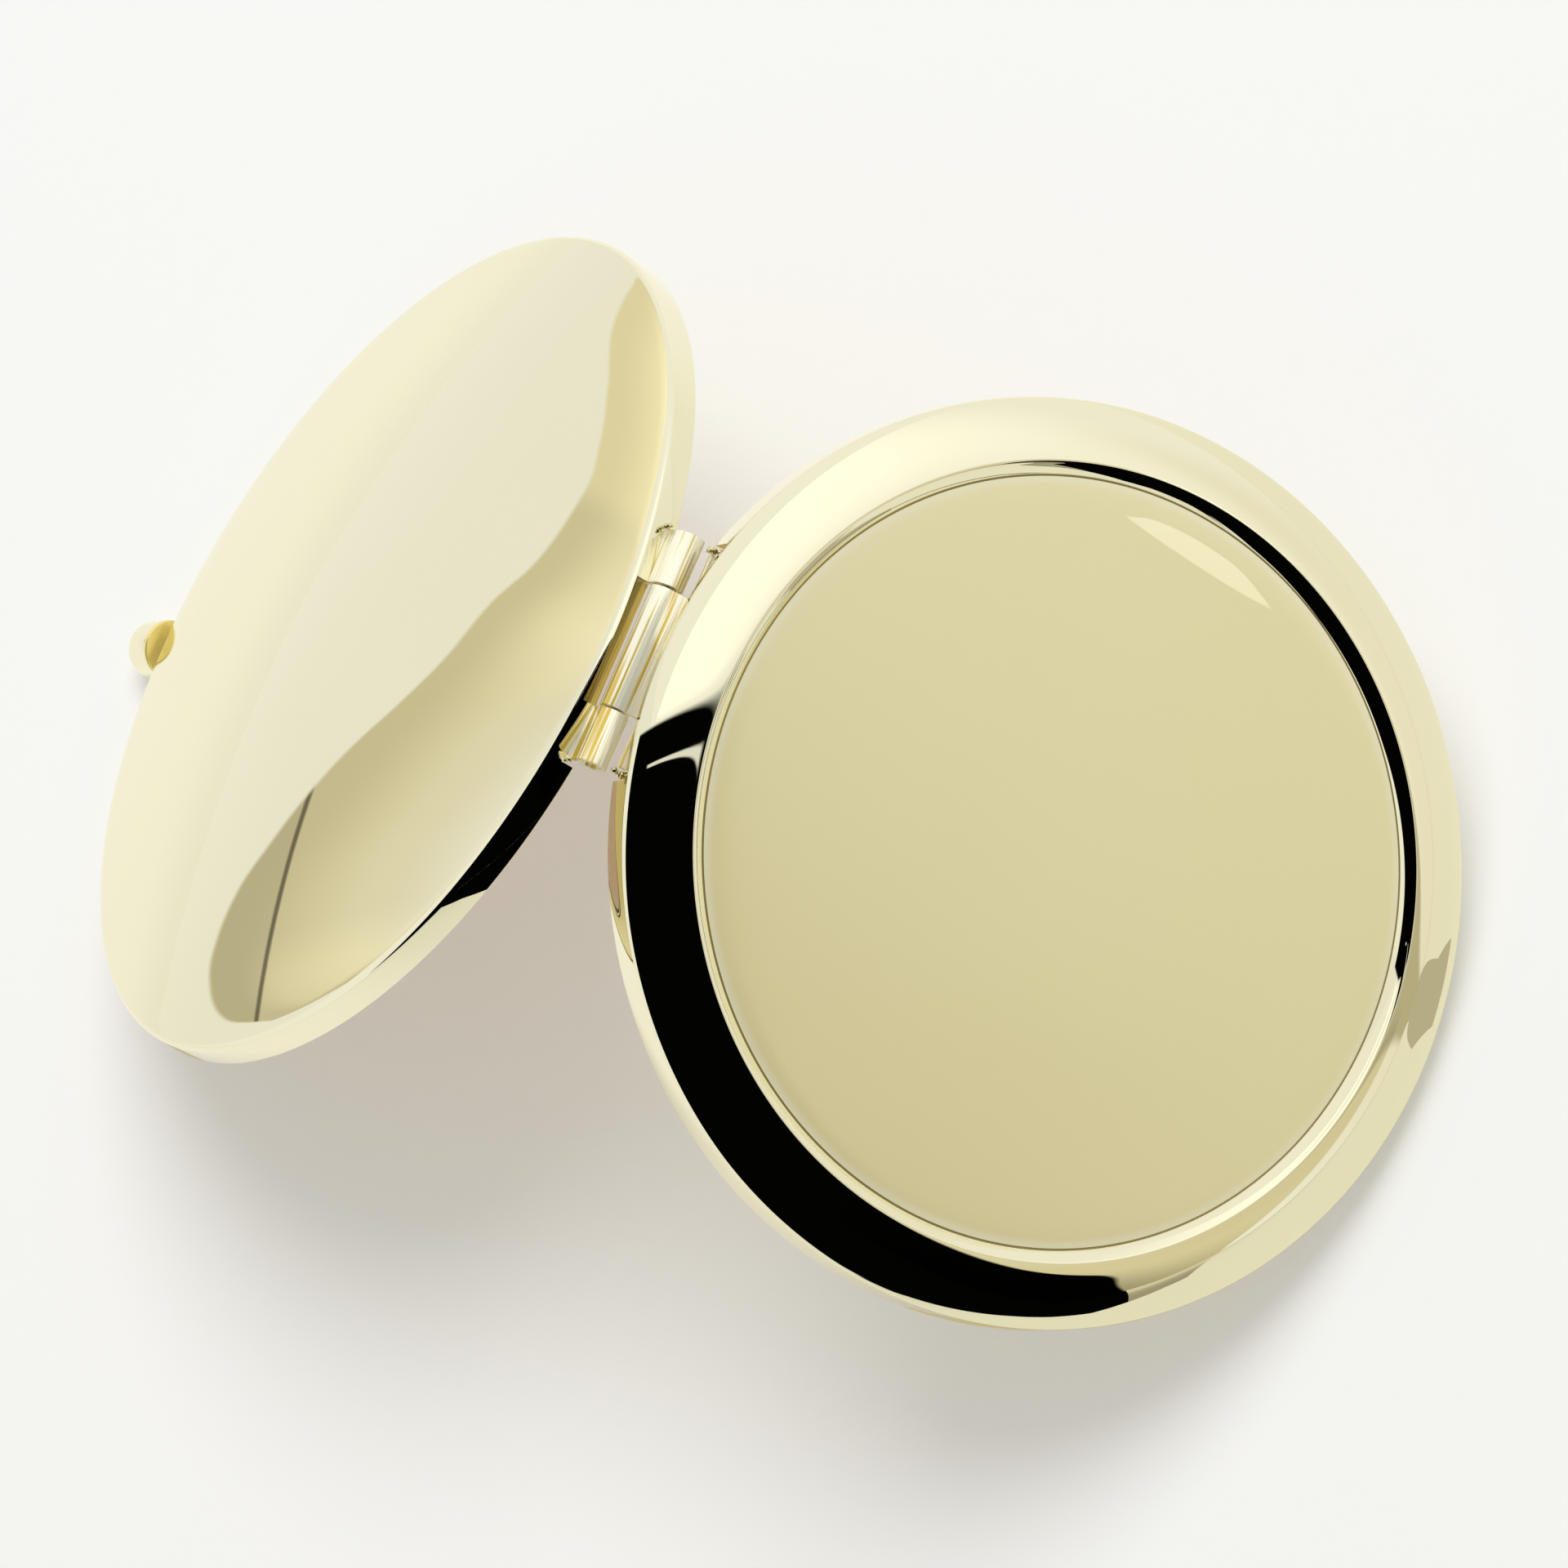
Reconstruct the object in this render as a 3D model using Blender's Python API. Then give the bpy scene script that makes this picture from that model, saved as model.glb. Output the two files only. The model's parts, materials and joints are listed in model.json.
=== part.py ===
"""Round 70 mm powder compact, standing open like a tent on its two far rims.

Each half is drawn in its own half frame: X runs from the hinge axis to the far rim, Y lies along
the hinge axis, and Z points out of the compact from the plane where the two halves meet.
Two empties on the hinge axis then carry the halves to the opening angle.
"""
import math

import bmesh
import bpy
from mathutils import Matrix, Vector

MM = 0.001

# Driving dimensions
OPENING_ANGLE = math.radians(97.0)
DISC_RADIUS = 35.0 * MM
HINGE_TO_CENTRE = 35.65 * MM
SEAM_GAP = 0.15 * MM            # each rim stops this far short of the meeting plane
SHEET = 0.5 * MM
CLEARANCE = 0.3 * MM
FAR_RIM = HINGE_TO_CENTRE + DISC_RADIUS

# Shells
SHELL_SIDES = 80
BASE_WALL = 2.7 * MM
BASE_DOME = 3.1 * MM
BASE_DOME_POWER = 2.3
LID_WALL = 2.9 * MM
LID_WALL_SHEET = 0.6 * MM
LID_CREST_RADIUS = 30.1 * MM
LID_CREST_HEIGHT = 4.78 * MM
RECESS_LIP_RADIUS = 29.8 * MM
RECESS_LIP_DROP = 0.08 * MM
RECESS_RADIUS = 29.0 * MM
RECESS_FLOOR = 4.0 * MM
CORNER = 0.35 * MM

# Hinge
KNUCKLE_RADIUS = 1.2 * MM
KNUCKLE_BORE = KNUCKLE_RADIUS - SHEET
PIN_RADIUS = 0.62 * MM
PIN_HALF_LENGTH = 9.2 * MM
PIN_CHAMFER = 0.15 * MM
HINGE_HALF_LENGTH = 9.5 * MM
MIDDLE_KNUCKLE_HALF = 4.95 * MM
OUTER_KNUCKLE_START = 5.15 * MM
LEAF_LENGTH = 3.6 * MM
LEAF_STEP = 1.7 * MM
LID_LEAF_HALF = 8.8 * MM
HINGE_NOTCH_HALF = 9.8 * MM
NEAR_RIM = HINGE_TO_CENTRE - DISC_RADIUS
BASE_NOTCH_END = NEAR_RIM + 3.0 * MM
BASE_NOTCH_HEIGHT = 2.2 * MM
LID_NOTCH_END = NEAR_RIM + 3.2 * MM
LID_NOTCH_HEIGHT = 2.3 * MM
INNER_NOTCH_END = LEAF_LENGTH + 0.7 * MM
INNER_NOTCH_HALF = 10.2 * MM

# Base insides
TRAY_RADIUS = 34.15 * MM
TRAY_TOP = 0.4 * MM
TRAY_SHEET = 0.4 * MM
WELL_RADIUS = 26.6 * MM
WELL_SHEET = 0.35 * MM          # the drawn well is a little thinner than the flange
WELL_FLOOR = 3.0 * MM
WELL_EDGE = 0.2 * MM
LATCH_SLOT_REAR = 64.3 * MM
LATCH_SLOT_HALF = 3.0 * MM
PAN_RADIUS = 26.2 * MM
PAN_RIM = 0.5 * MM
PAN_BOTTOM = 2.5 * MM
PAN_SHEET = 0.3 * MM
PAN_CHAMFER = 0.3 * MM
POWDER_TOP = 0.75 * MM
POWDER_EDGE = 0.4 * MM          # the cake's rounded-off rim: this wide
POWDER_EDGE_DROP = 0.25 * MM    # and this deep
POWDER_BED = 0.1 * MM
PAD_RADIUS = 20.0 * MM
PAD_TOP = 2.62 * MM
PAD_BOTTOM = 2.9 * MM

# Lid insides
MIRROR_RADIUS = 30.5 * MM
MIRROR_FACE = 1.65 * MM
MIRROR_BACK = 2.85 * MM
MIRROR_BEVEL = 0.2 * MM
MIRROR_PAD_RADIUS = 27.0 * MM
MIRROR_PAD_LOW = 2.95 * MM
MIRROR_PAD_TOP = 3.35 * MM
RING_OUTER = 33.9 * MM
RING_INNER = 28.6 * MM
RING_FACE = 1.0 * MM
RING_SHEET = 0.45 * MM
RING_SKIRT = 2.6 * MM
RING_SKIRT_SHEET = 0.4 * MM
RING_CHAMFER = 0.15 * MM
LATCH_NOTCH_REAR = 66.9 * MM
LATCH_NOTCH_HALF = 3.8 * MM

# Button and latch
BUTTON_HEIGHT = 1.27 * MM
BUTTON_RADIUS = 2.35 * MM
BUTTON_STANDOFF = 1.0 * MM
BUTTON_SIDE = 2.5 * MM
BUTTON_FILLET = 1.1 * MM
BUTTON_CROWN = 0.12 * MM
BUTTON_BACK_EDGE = 0.2 * MM
SHANK_HALF_WIDTH = 1.2 * MM
SHANK_TOP = 0.75 * MM
SHANK_BOTTOM = 1.25 * MM
SHANK_END = 66.0 * MM
SHANK_ROOT = 0.5 * MM
SLIDER_TOP = 1.35 * MM
SLIDER_BOTTOM = 1.75 * MM
SLIDER_REAR = 65.6 * MM
SLIDER_HALF_WIDTH = 2.6 * MM
PRONG_INNER_Y = 1.5 * MM
PRONG_BACK = 67.9 * MM
PRONG_FRONT = 68.4 * MM
NOSE_FRONT = 68.7 * MM
NOSE_UNDER = -0.85 * MM
PRONG_TIP = -1.5 * MM
RIVET_RADIUS = 0.4 * MM
RIVET_HOLE = 0.5 * MM
RIVET_HEAD = 0.8 * MM
RIVET_EDGE = 0.2 * MM
RIVET_START = 0.42 * MM
BUTTON_RIVET_NECK = 0.65 * MM
BUTTON_RIVET_END = 1.72 * MM
GUIDE_RIVET_NECK = 1.5 * MM
GUIDE_RIVET_END = 1.75 * MM
BUTTON_RIVET_X = 66.8 * MM
GUIDE_SHEET = 0.3 * MM
GUIDE_WING_TOP = 1.1 * MM
GUIDE_WING_HALF = 5.2 * MM
GUIDE_CHANNEL_HALF = 3.1 * MM
GUIDE_CHANNEL_FLOOR = 2.0 * MM
GUIDE_REAR = 62.9 * MM
GUIDE_FRONT = 67.6 * MM
GUIDE_RIVET_X = 65.2 * MM
GUIDE_RIVET_Y = 4.3 * MM
SPRING_RADIUS = 0.42 * MM
SPRING_WIRE = 0.12 * MM
SPRING_HEIGHT = 1.4 * MM
SPRING_TURNS = 4.5
SPRING_PLAY = 0.05 * MM
CATCH_FACE = 69.0 * MM
CATCH_PLATE = 69.3 * MM
CATCH_BACK = 69.7 * MM
CATCH_HALF_WIDTH = 3.4 * MM
CATCH_LOW = 0.4 * MM
CATCH_LIP = 0.8 * MM
CATCH_TOP = 2.4 * MM

POLISHED_GOLD = ((0.87, 0.82, 0.58), 0.08, 1.0)
SATIN_GOLD = ((0.80, 0.74, 0.50), 0.30, 1.0)
STEEL = ((0.62, 0.62, 0.62), 0.30, 1.0)
MIRROR = ((0.92, 0.93, 0.93), 0.02, 1.0)
POWDER = ((0.80, 0.58, 0.44), 0.95, 0.0)
PAPER = ((0.85, 0.84, 0.80), 0.80, 0.0)


def clear_scene():
    for obj in list(bpy.data.objects):
        bpy.data.objects.remove(obj, do_unlink=True)


def make_material(name, finish):
    colour, roughness, metallic = finish
    material = bpy.data.materials.new(name)
    material.use_nodes = True
    shader = material.node_tree.nodes["Principled BSDF"]
    shader.inputs["Base Color"].default_value = (*colour, 1.0)
    shader.inputs["Roughness"].default_value = roughness
    shader.inputs["Metallic"].default_value = metallic
    return material


def add_object(name, bm, parent, finish):
    """Turn a bmesh into an object with its own material, with its faces pointing out."""
    bmesh.ops.recalc_face_normals(bm, faces=bm.faces)
    mesh = bpy.data.meshes.new(name)
    bm.to_mesh(mesh)
    bm.free()
    mesh.shade_smooth()
    mesh.set_sharp_from_angle(angle=math.radians(30))
    obj = bpy.data.objects.new(name, mesh)
    obj.parent = parent
    bpy.context.scene.collection.objects.link(obj)
    if finish:
        mesh.materials.append(make_material(name, finish))
    return obj


def turn(bm, outline, sides, place):
    """Turn a closed outline of (radius, height) about its axis; radius 0 makes a pole.

    The flats, not the corners, lie at the stated radius, so the solid spans the true circle.
    """
    reach = 1.0 / math.cos(math.pi / sides)
    rings = []
    for radius, height in outline:
        if radius == 0.0:
            pole = bm.verts.new(place @ Vector((0.0, 0.0, height)))
            rings.append([pole] * sides)
            continue
        ring = []
        for i in range(sides):
            angle = 2 * math.pi * (i + 0.5) / sides
            point = Vector((radius * reach * math.cos(angle), radius * reach * math.sin(angle), height))
            ring.append(bm.verts.new(place @ point))
        rings.append(ring)
    for ring, following in zip(rings, rings[1:] + rings[:1]):
        for i in range(sides):
            j = (i + 1) % sides
            corners = []
            for vert in (ring[i], ring[j], following[j], following[i]):
                if vert not in corners:
                    corners.append(vert)
            if len(corners) > 2:
                bm.faces.new(corners)


def turned(name, outline, parent, finish, sides, place):
    bm = bmesh.new()
    turn(bm, outline, sides, place)
    return add_object(name, bm, parent, finish)


def extruded(name, outline, axis, start, end, parent, finish):
    """Extrude an outline along 'X' (outline in Y, Z) or 'Y' (outline in X, Z)."""
    bm = bmesh.new()
    if axis == "X":
        verts = [bm.verts.new((start, y, z)) for y, z in outline]
        step = Vector((end - start, 0.0, 0.0))
    else:
        verts = [bm.verts.new((x, start, z)) for x, z in outline]
        step = Vector((0.0, end - start, 0.0))
    face = bm.faces.new(verts)
    extrusion = bmesh.ops.extrude_face_region(bm, geom=[face])
    moved = [item for item in extrusion["geom"] if isinstance(item, bmesh.types.BMVert)]
    bmesh.ops.translate(bm, verts=moved, vec=step)
    return add_object(name, bm, parent, finish)


def guide_box(name, low, high, parent):
    """A box used only to cut or join another piece."""
    bm = bmesh.new()
    bmesh.ops.create_cube(bm, size=1.0)
    for vert in bm.verts:
        share = vert.co + Vector((0.5, 0.5, 0.5))
        vert.co = Vector(a + (b - a) * s for a, b, s in zip(low, high, share))
    return as_guide(add_object(name, bm, parent, None))


def guide_cylinder(name, x, y, radius, low, high, parent):
    """An upright round cutter in a half frame."""
    outline = [(0.0, high), (radius, high), (radius, low), (0.0, low)]
    place = Matrix.Translation((x, y, 0.0))
    return as_guide(turned(name, outline, parent, None, 16, place))


def as_guide(obj):
    obj.hide_render = True
    obj.display_type = "WIRE"
    return obj


def combine(obj, operation, *guides):
    for guide in guides:
        modifier = obj.modifiers.new(guide.name, "BOOLEAN")
        modifier.operation = operation
        modifier.solver = "EXACT"
        modifier.object = guide


def disc_place():
    """The axis of a round piece, at the middle of its half."""
    return Matrix.Translation((HINGE_TO_CENTRE, 0.0, 0.0))


def arc(centre, radius, start, end, steps):
    """Points of an arc from start to end, in degrees, both ends included."""
    points = []
    for i in range(steps + 1):
        angle = math.radians(start + (end - start) * i / steps)
        points.append((centre[0] + radius * math.cos(angle), centre[1] + radius * math.sin(angle)))
    return points


# ---------------------------------------------------------------- base half

def dome_height(radius, rise_from):
    return rise_from + BASE_DOME * (1.0 - (radius / DISC_RADIUS) ** BASE_DOME_POWER)


def build_base_shell(base):
    """Plain domed cup with a straight wall and a small rounded corner."""
    outer_radii = [33.0, 30.0, 26.0, 21.0, 15.0, 8.0]
    inner_radii = [8.0, 17.0, 25.0, 30.0]
    outline = [(DISC_RADIUS, SEAM_GAP)]
    outline += arc((DISC_RADIUS - CORNER, BASE_WALL - CORNER), CORNER, 0, 80, 2)
    outline += [(r * MM, dome_height(r * MM, BASE_WALL)) for r in outer_radii]
    outline += [(0.0, BASE_WALL + BASE_DOME), (0.0, BASE_WALL + BASE_DOME - SHEET)]
    outline += [(r * MM, dome_height(r * MM, BASE_WALL - SHEET)) for r in inner_radii]
    outline += [(DISC_RADIUS - SHEET, BASE_WALL - SHEET), (DISC_RADIUS - SHEET, SEAM_GAP)]
    shell = turned("base_shell", outline, base, POLISHED_GOLD, SHELL_SIDES, disc_place())
    middle = guide_box("base_knuckle_notch", (-MM, -OUTER_KNUCKLE_START, -MM),
                       (BASE_NOTCH_END, OUTER_KNUCKLE_START, BASE_NOTCH_HEIGHT), base)
    leaf_slot = guide_box("base_leaf_notch", (-MM, -HINGE_NOTCH_HALF, -MM),
                          (BASE_NOTCH_END, HINGE_NOTCH_HALF, KNUCKLE_RADIUS + CLEARANCE), base)
    shank_slot = guide_box("shank_slot",
                           (FAR_RIM - 2.0 * MM, -SHANK_HALF_WIDTH - CLEARANCE, SHANK_TOP - CLEARANCE),
                           (FAR_RIM + MM, SHANK_HALF_WIDTH + CLEARANCE, SHANK_BOTTOM + CLEARANCE), base)
    combine(shell, "DIFFERENCE", middle, leaf_slot, shank_slot)


def build_base_tray(base):
    """Inner plate: a flange just under the seam and a round well for the pan."""
    well_outer = WELL_RADIUS + WELL_SHEET
    well_under = WELL_FLOOR + WELL_SHEET
    flange_under = TRAY_TOP + TRAY_SHEET
    outline = [
        (0.0, WELL_FLOOR), (WELL_RADIUS, WELL_FLOOR), (WELL_RADIUS, TRAY_TOP + WELL_EDGE),
        (WELL_RADIUS + WELL_EDGE, TRAY_TOP), (TRAY_RADIUS, TRAY_TOP), (TRAY_RADIUS, flange_under),
        (well_outer, flange_under), (well_outer, well_under), (0.0, well_under),
    ]
    tray = turned("base_tray", outline, base, SATIN_GOLD, 64, disc_place())
    hinge_notch = guide_box("tray_hinge_notch", (-MM, -INNER_NOTCH_HALF, -MM),
                            (INNER_NOTCH_END, INNER_NOTCH_HALF, 2.0 * MM), base)
    latch_slot = guide_box("tray_latch_slot", (LATCH_SLOT_REAR, -LATCH_SLOT_HALF, -MM),
                           (FAR_RIM, LATCH_SLOT_HALF, MM), base)
    holes = [guide_cylinder(f"tray_rivet_hole_{side}", GUIDE_RIVET_X, side * GUIDE_RIVET_Y,
                            RIVET_HOLE, 0.0, 1.0 * MM, base) for side in (-1, 1)]
    combine(tray, "DIFFERENCE", hinge_notch, latch_slot, *holes)


def build_pan_and_powder(base):
    """Sticky pad, pressed metal pan and the cake of powder in it."""
    pad = [(0.0, PAD_TOP), (PAD_RADIUS, PAD_TOP), (PAD_RADIUS, PAD_BOTTOM), (0.0, PAD_BOTTOM)]
    turned("pan_adhesive", pad, base, PAPER, 40, disc_place())
    inner = PAN_RADIUS - PAN_SHEET
    floor = PAN_BOTTOM - PAN_SHEET
    pan = [
        (0.0, floor), (inner, floor), (inner, PAN_RIM), (PAN_RADIUS, PAN_RIM),
        (PAN_RADIUS, PAN_BOTTOM - PAN_CHAMFER), (PAN_RADIUS - PAN_CHAMFER, PAN_BOTTOM), (0.0, PAN_BOTTOM),
    ]
    turned("powder_pan", pan, base, STEEL, 64, disc_place())
    edge = inner - CLEARANCE
    cake = [
        (0.0, POWDER_TOP), (edge - POWDER_EDGE, POWDER_TOP), (edge, POWDER_TOP + POWDER_EDGE_DROP),
        (edge, floor - POWDER_BED), (0.0, floor - POWDER_BED),
    ]
    turned("pressed_powder", cake, base, POWDER, 64, disc_place())


# ---------------------------------------------------------------- hinge

def leaf_outline():
    """A flat leaf whose end is rolled round the pin, leaving a narrow slit."""
    outline = [(LEAF_LENGTH, KNUCKLE_RADIUS)]
    outline += arc((0.0, 0.0), KNUCKLE_RADIUS, 90, 380, 16)
    outline += arc((0.0, 0.0), KNUCKLE_BORE, 380, 90, 16)
    outline += [(LEAF_LENGTH, KNUCKLE_BORE)]
    return outline


def build_hinge(base, lid):
    """Two outer knuckles on the base leaf, the middle one on the lid leaf, and the pin."""
    base_leaf = extruded("base_hinge_leaf", leaf_outline(), "Y", -HINGE_HALF_LENGTH,
                         HINGE_HALF_LENGTH, base, POLISHED_GOLD)
    gap = guide_box("base_leaf_gap", (-2 * MM, -OUTER_KNUCKLE_START, -2 * MM),
                    (LEAF_STEP, OUTER_KNUCKLE_START, 2 * MM), base)
    combine(base_leaf, "DIFFERENCE", gap)
    lid_leaf = extruded("lid_hinge_leaf", leaf_outline(), "Y", -LID_LEAF_HALF, LID_LEAF_HALF,
                        lid, POLISHED_GOLD)
    for side in (-1, 1):
        near = side * MIDDLE_KNUCKLE_HALF
        far = side * (LID_LEAF_HALF + MM)
        relief = guide_box(f"lid_leaf_relief_{side}", (-2 * MM, min(near, far), -2 * MM),
                           (LEAF_STEP, max(near, far), 2 * MM), lid)
        combine(lid_leaf, "DIFFERENCE", relief)
    pin = [
        (0.0, PIN_HALF_LENGTH), (PIN_RADIUS - PIN_CHAMFER, PIN_HALF_LENGTH),
        (PIN_RADIUS, PIN_HALF_LENGTH - PIN_CHAMFER), (PIN_RADIUS, PIN_CHAMFER - PIN_HALF_LENGTH),
        (PIN_RADIUS - PIN_CHAMFER, -PIN_HALF_LENGTH), (0.0, -PIN_HALF_LENGTH),
    ]
    along_y = Matrix.Rotation(math.radians(90), 4, "X")
    turned("hinge_pin", pin, base, STEEL, 20, along_y)


# ---------------------------------------------------------------- button and latch

def build_push_button(button):
    """Round domed head on a flat shank that runs in through the wall."""
    fillet_centre = (BUTTON_RADIUS - BUTTON_FILLET, BUTTON_STANDOFF + BUTTON_SIDE)
    head = [(0.0, BUTTON_STANDOFF), (BUTTON_RADIUS - BUTTON_BACK_EDGE, BUTTON_STANDOFF)]
    head += [(BUTTON_RADIUS, BUTTON_STANDOFF + BUTTON_BACK_EDGE)]
    head += arc(fillet_centre, BUTTON_FILLET, 0, 80, 4)
    head += [(0.0, BUTTON_STANDOFF + BUTTON_SIDE + BUTTON_FILLET + BUTTON_CROWN)]
    outward = Matrix.Translation((FAR_RIM, 0.0, BUTTON_HEIGHT)) @ Matrix.Rotation(math.radians(90), 4, "Y")
    push_button = turned("push_button", head, button, POLISHED_GOLD, 32, outward)
    shank = guide_box("shank", (SHANK_END, -SHANK_HALF_WIDTH, SHANK_TOP),
                      (FAR_RIM + BUTTON_STANDOFF + SHANK_ROOT, SHANK_HALF_WIDTH, SHANK_BOTTOM), button)
    hole = guide_cylinder("shank_hole", BUTTON_RIVET_X, 0.0, RIVET_HOLE, 0.0, 3 * MM, button)
    combine(push_button, "UNION", shank)
    combine(push_button, "DIFFERENCE", hole)


def build_latch_slider(button):
    """Plate under the shank with two hooked prongs that reach over into the lid."""
    outline = [
        (SLIDER_REAR, SLIDER_TOP), (PRONG_BACK, SLIDER_TOP), (PRONG_BACK, PRONG_TIP),
        (PRONG_FRONT - 0.1 * MM, PRONG_TIP), (NOSE_FRONT, NOSE_UNDER - 0.15 * MM),
        (NOSE_FRONT, NOSE_UNDER), (PRONG_FRONT, NOSE_UNDER), (PRONG_FRONT, SLIDER_BOTTOM),
        (SLIDER_REAR, SLIDER_BOTTOM),
    ]
    slider = extruded("latch_slider", outline, "Y", -SLIDER_HALF_WIDTH, SLIDER_HALF_WIDTH,
                      button, STEEL)
    fork = guide_box("fork_gap", (PRONG_BACK - MM, -PRONG_INNER_Y, -2 * MM),
                     (NOSE_FRONT + MM, PRONG_INNER_Y, SLIDER_TOP + 0.1 * MM), button)
    hole = guide_cylinder("slider_hole", BUTTON_RIVET_X, 0.0, RIVET_HOLE, MM, 3 * MM, button)
    combine(slider, "DIFFERENCE", fork, hole)
    rivet = [
        (0.0, RIVET_START), (RIVET_HEAD - RIVET_EDGE, RIVET_START), (RIVET_HEAD, BUTTON_RIVET_NECK),
        (RIVET_RADIUS, BUTTON_RIVET_NECK), (RIVET_RADIUS, BUTTON_RIVET_END), (0.0, BUTTON_RIVET_END),
    ]
    place = Matrix.Translation((BUTTON_RIVET_X, 0.0, 0.0))
    turned("button_rivet", rivet, button, STEEL, 16, place)


def build_latch_guide(base):
    """Hat-shaped channel riveted under the tray, closed at the back for the spring to push on."""
    channel_outer = GUIDE_CHANNEL_HALF + GUIDE_SHEET
    wing_under = GUIDE_WING_TOP + GUIDE_SHEET
    channel_under = GUIDE_CHANNEL_FLOOR + GUIDE_SHEET
    inside = [(GUIDE_CHANNEL_HALF, GUIDE_CHANNEL_FLOOR), (GUIDE_CHANNEL_HALF, GUIDE_WING_TOP),
              (GUIDE_WING_HALF, GUIDE_WING_TOP)]
    outside = [(GUIDE_WING_HALF, wing_under), (channel_outer, wing_under), (channel_outer, channel_under)]
    half = inside + outside
    outline = half + [(-y, z) for y, z in reversed(half)]
    guide = extruded("latch_guide", outline, "X", GUIDE_REAR, GUIDE_FRONT, base, STEEL)
    middle_half = GUIDE_CHANNEL_HALF + GUIDE_SHEET / 2
    end_wall = guide_box("guide_end_wall", (GUIDE_REAR, -middle_half, GUIDE_WING_TOP),
                         (GUIDE_REAR + GUIDE_SHEET, middle_half, GUIDE_CHANNEL_FLOOR + GUIDE_SHEET / 2), base)
    combine(guide, "UNION", end_wall)
    rivet = [
        (0.0, RIVET_START), (RIVET_RADIUS, RIVET_START), (RIVET_RADIUS, GUIDE_RIVET_NECK),
        (RIVET_HEAD, GUIDE_RIVET_NECK), (RIVET_HEAD - RIVET_EDGE, GUIDE_RIVET_END), (0.0, GUIDE_RIVET_END),
    ]
    for number, y in enumerate((-GUIDE_RIVET_Y, GUIDE_RIVET_Y), start=1):
        hole = guide_cylinder(f"guide_rivet_hole_{number}", GUIDE_RIVET_X, y,
                              RIVET_HOLE, MM, 2 * MM, base)
        combine(guide, "DIFFERENCE", hole)
        place = Matrix.Translation((GUIDE_RIVET_X, y, 0.0))
        turned(f"guide_rivet_{number}", rivet, base, STEEL, 16, place)


def build_latch_spring(base):
    """Small coil spring between the guide's end wall and the slider."""
    start = GUIDE_REAR + GUIDE_SHEET + SPRING_WIRE + SPRING_PLAY
    end = SLIDER_REAR - SPRING_WIRE - SPRING_PLAY
    points_per_turn = 12
    count = int(SPRING_TURNS * points_per_turn)
    curve = bpy.data.curves.new("latch_spring", "CURVE")
    curve.dimensions = "3D"
    curve.bevel_depth = SPRING_WIRE
    curve.bevel_resolution = 1
    curve.use_fill_caps = True
    spline = curve.splines.new("POLY")
    spline.points.add(count)
    for i in range(count + 1):
        angle = 2 * math.pi * i / points_per_turn
        x = start + (end - start) * i / count
        y = SPRING_RADIUS * math.cos(angle)
        z = SPRING_HEIGHT + SPRING_RADIUS * math.sin(angle)
        spline.points[i].co = (x, y, z, 1.0)
    curve.materials.append(make_material("latch_spring", STEEL))
    spring = bpy.data.objects.new("latch_spring", curve)
    spring.parent = base
    bpy.context.scene.collection.objects.link(spring)


# ---------------------------------------------------------------- lid half

def lid_ring_outline(inset):
    """The raised ring's section from its outer shoulder to the recess floor, set in by inset."""
    shoulder = (DISC_RADIUS - inset, LID_WALL - inset)
    crest_height = LID_CREST_HEIGHT - inset
    width = shoulder[0] - LID_CREST_RADIUS
    rise = crest_height - shoulder[1]
    points = []
    for degrees in (25, 45, 65, 90):
        angle = math.radians(degrees)
        points.append((LID_CREST_RADIUS + width * math.cos(angle), shoulder[1] + rise * math.sin(angle)))
    points += [(RECESS_LIP_RADIUS, crest_height - RECESS_LIP_DROP), (RECESS_RADIUS, RECESS_FLOOR - inset)]
    return points


def build_lid_shell(lid):
    """Cup whose outer face is a rounded ring about a shallow round recess with a flat floor."""
    outline = [(DISC_RADIUS, SEAM_GAP)]
    outline += arc((DISC_RADIUS - CORNER, LID_WALL - CORNER), CORNER, 0, 40, 1)
    outline += lid_ring_outline(0.0)
    outline += [(0.0, RECESS_FLOOR), (0.0, RECESS_FLOOR - SHEET)]
    outline += reversed(lid_ring_outline(SHEET))
    outline += [(DISC_RADIUS - LID_WALL_SHEET, LID_WALL - SHEET)]
    outline += [(DISC_RADIUS - LID_WALL_SHEET, SEAM_GAP)]
    shell = turned("lid_shell", outline, lid, POLISHED_GOLD, SHELL_SIDES, disc_place())
    notch = guide_box("lid_hinge_notch", (-MM, -HINGE_NOTCH_HALF, -MM),
                      (LID_NOTCH_END, HINGE_NOTCH_HALF, LID_NOTCH_HEIGHT), lid)
    combine(shell, "DIFFERENCE", notch)


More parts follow.
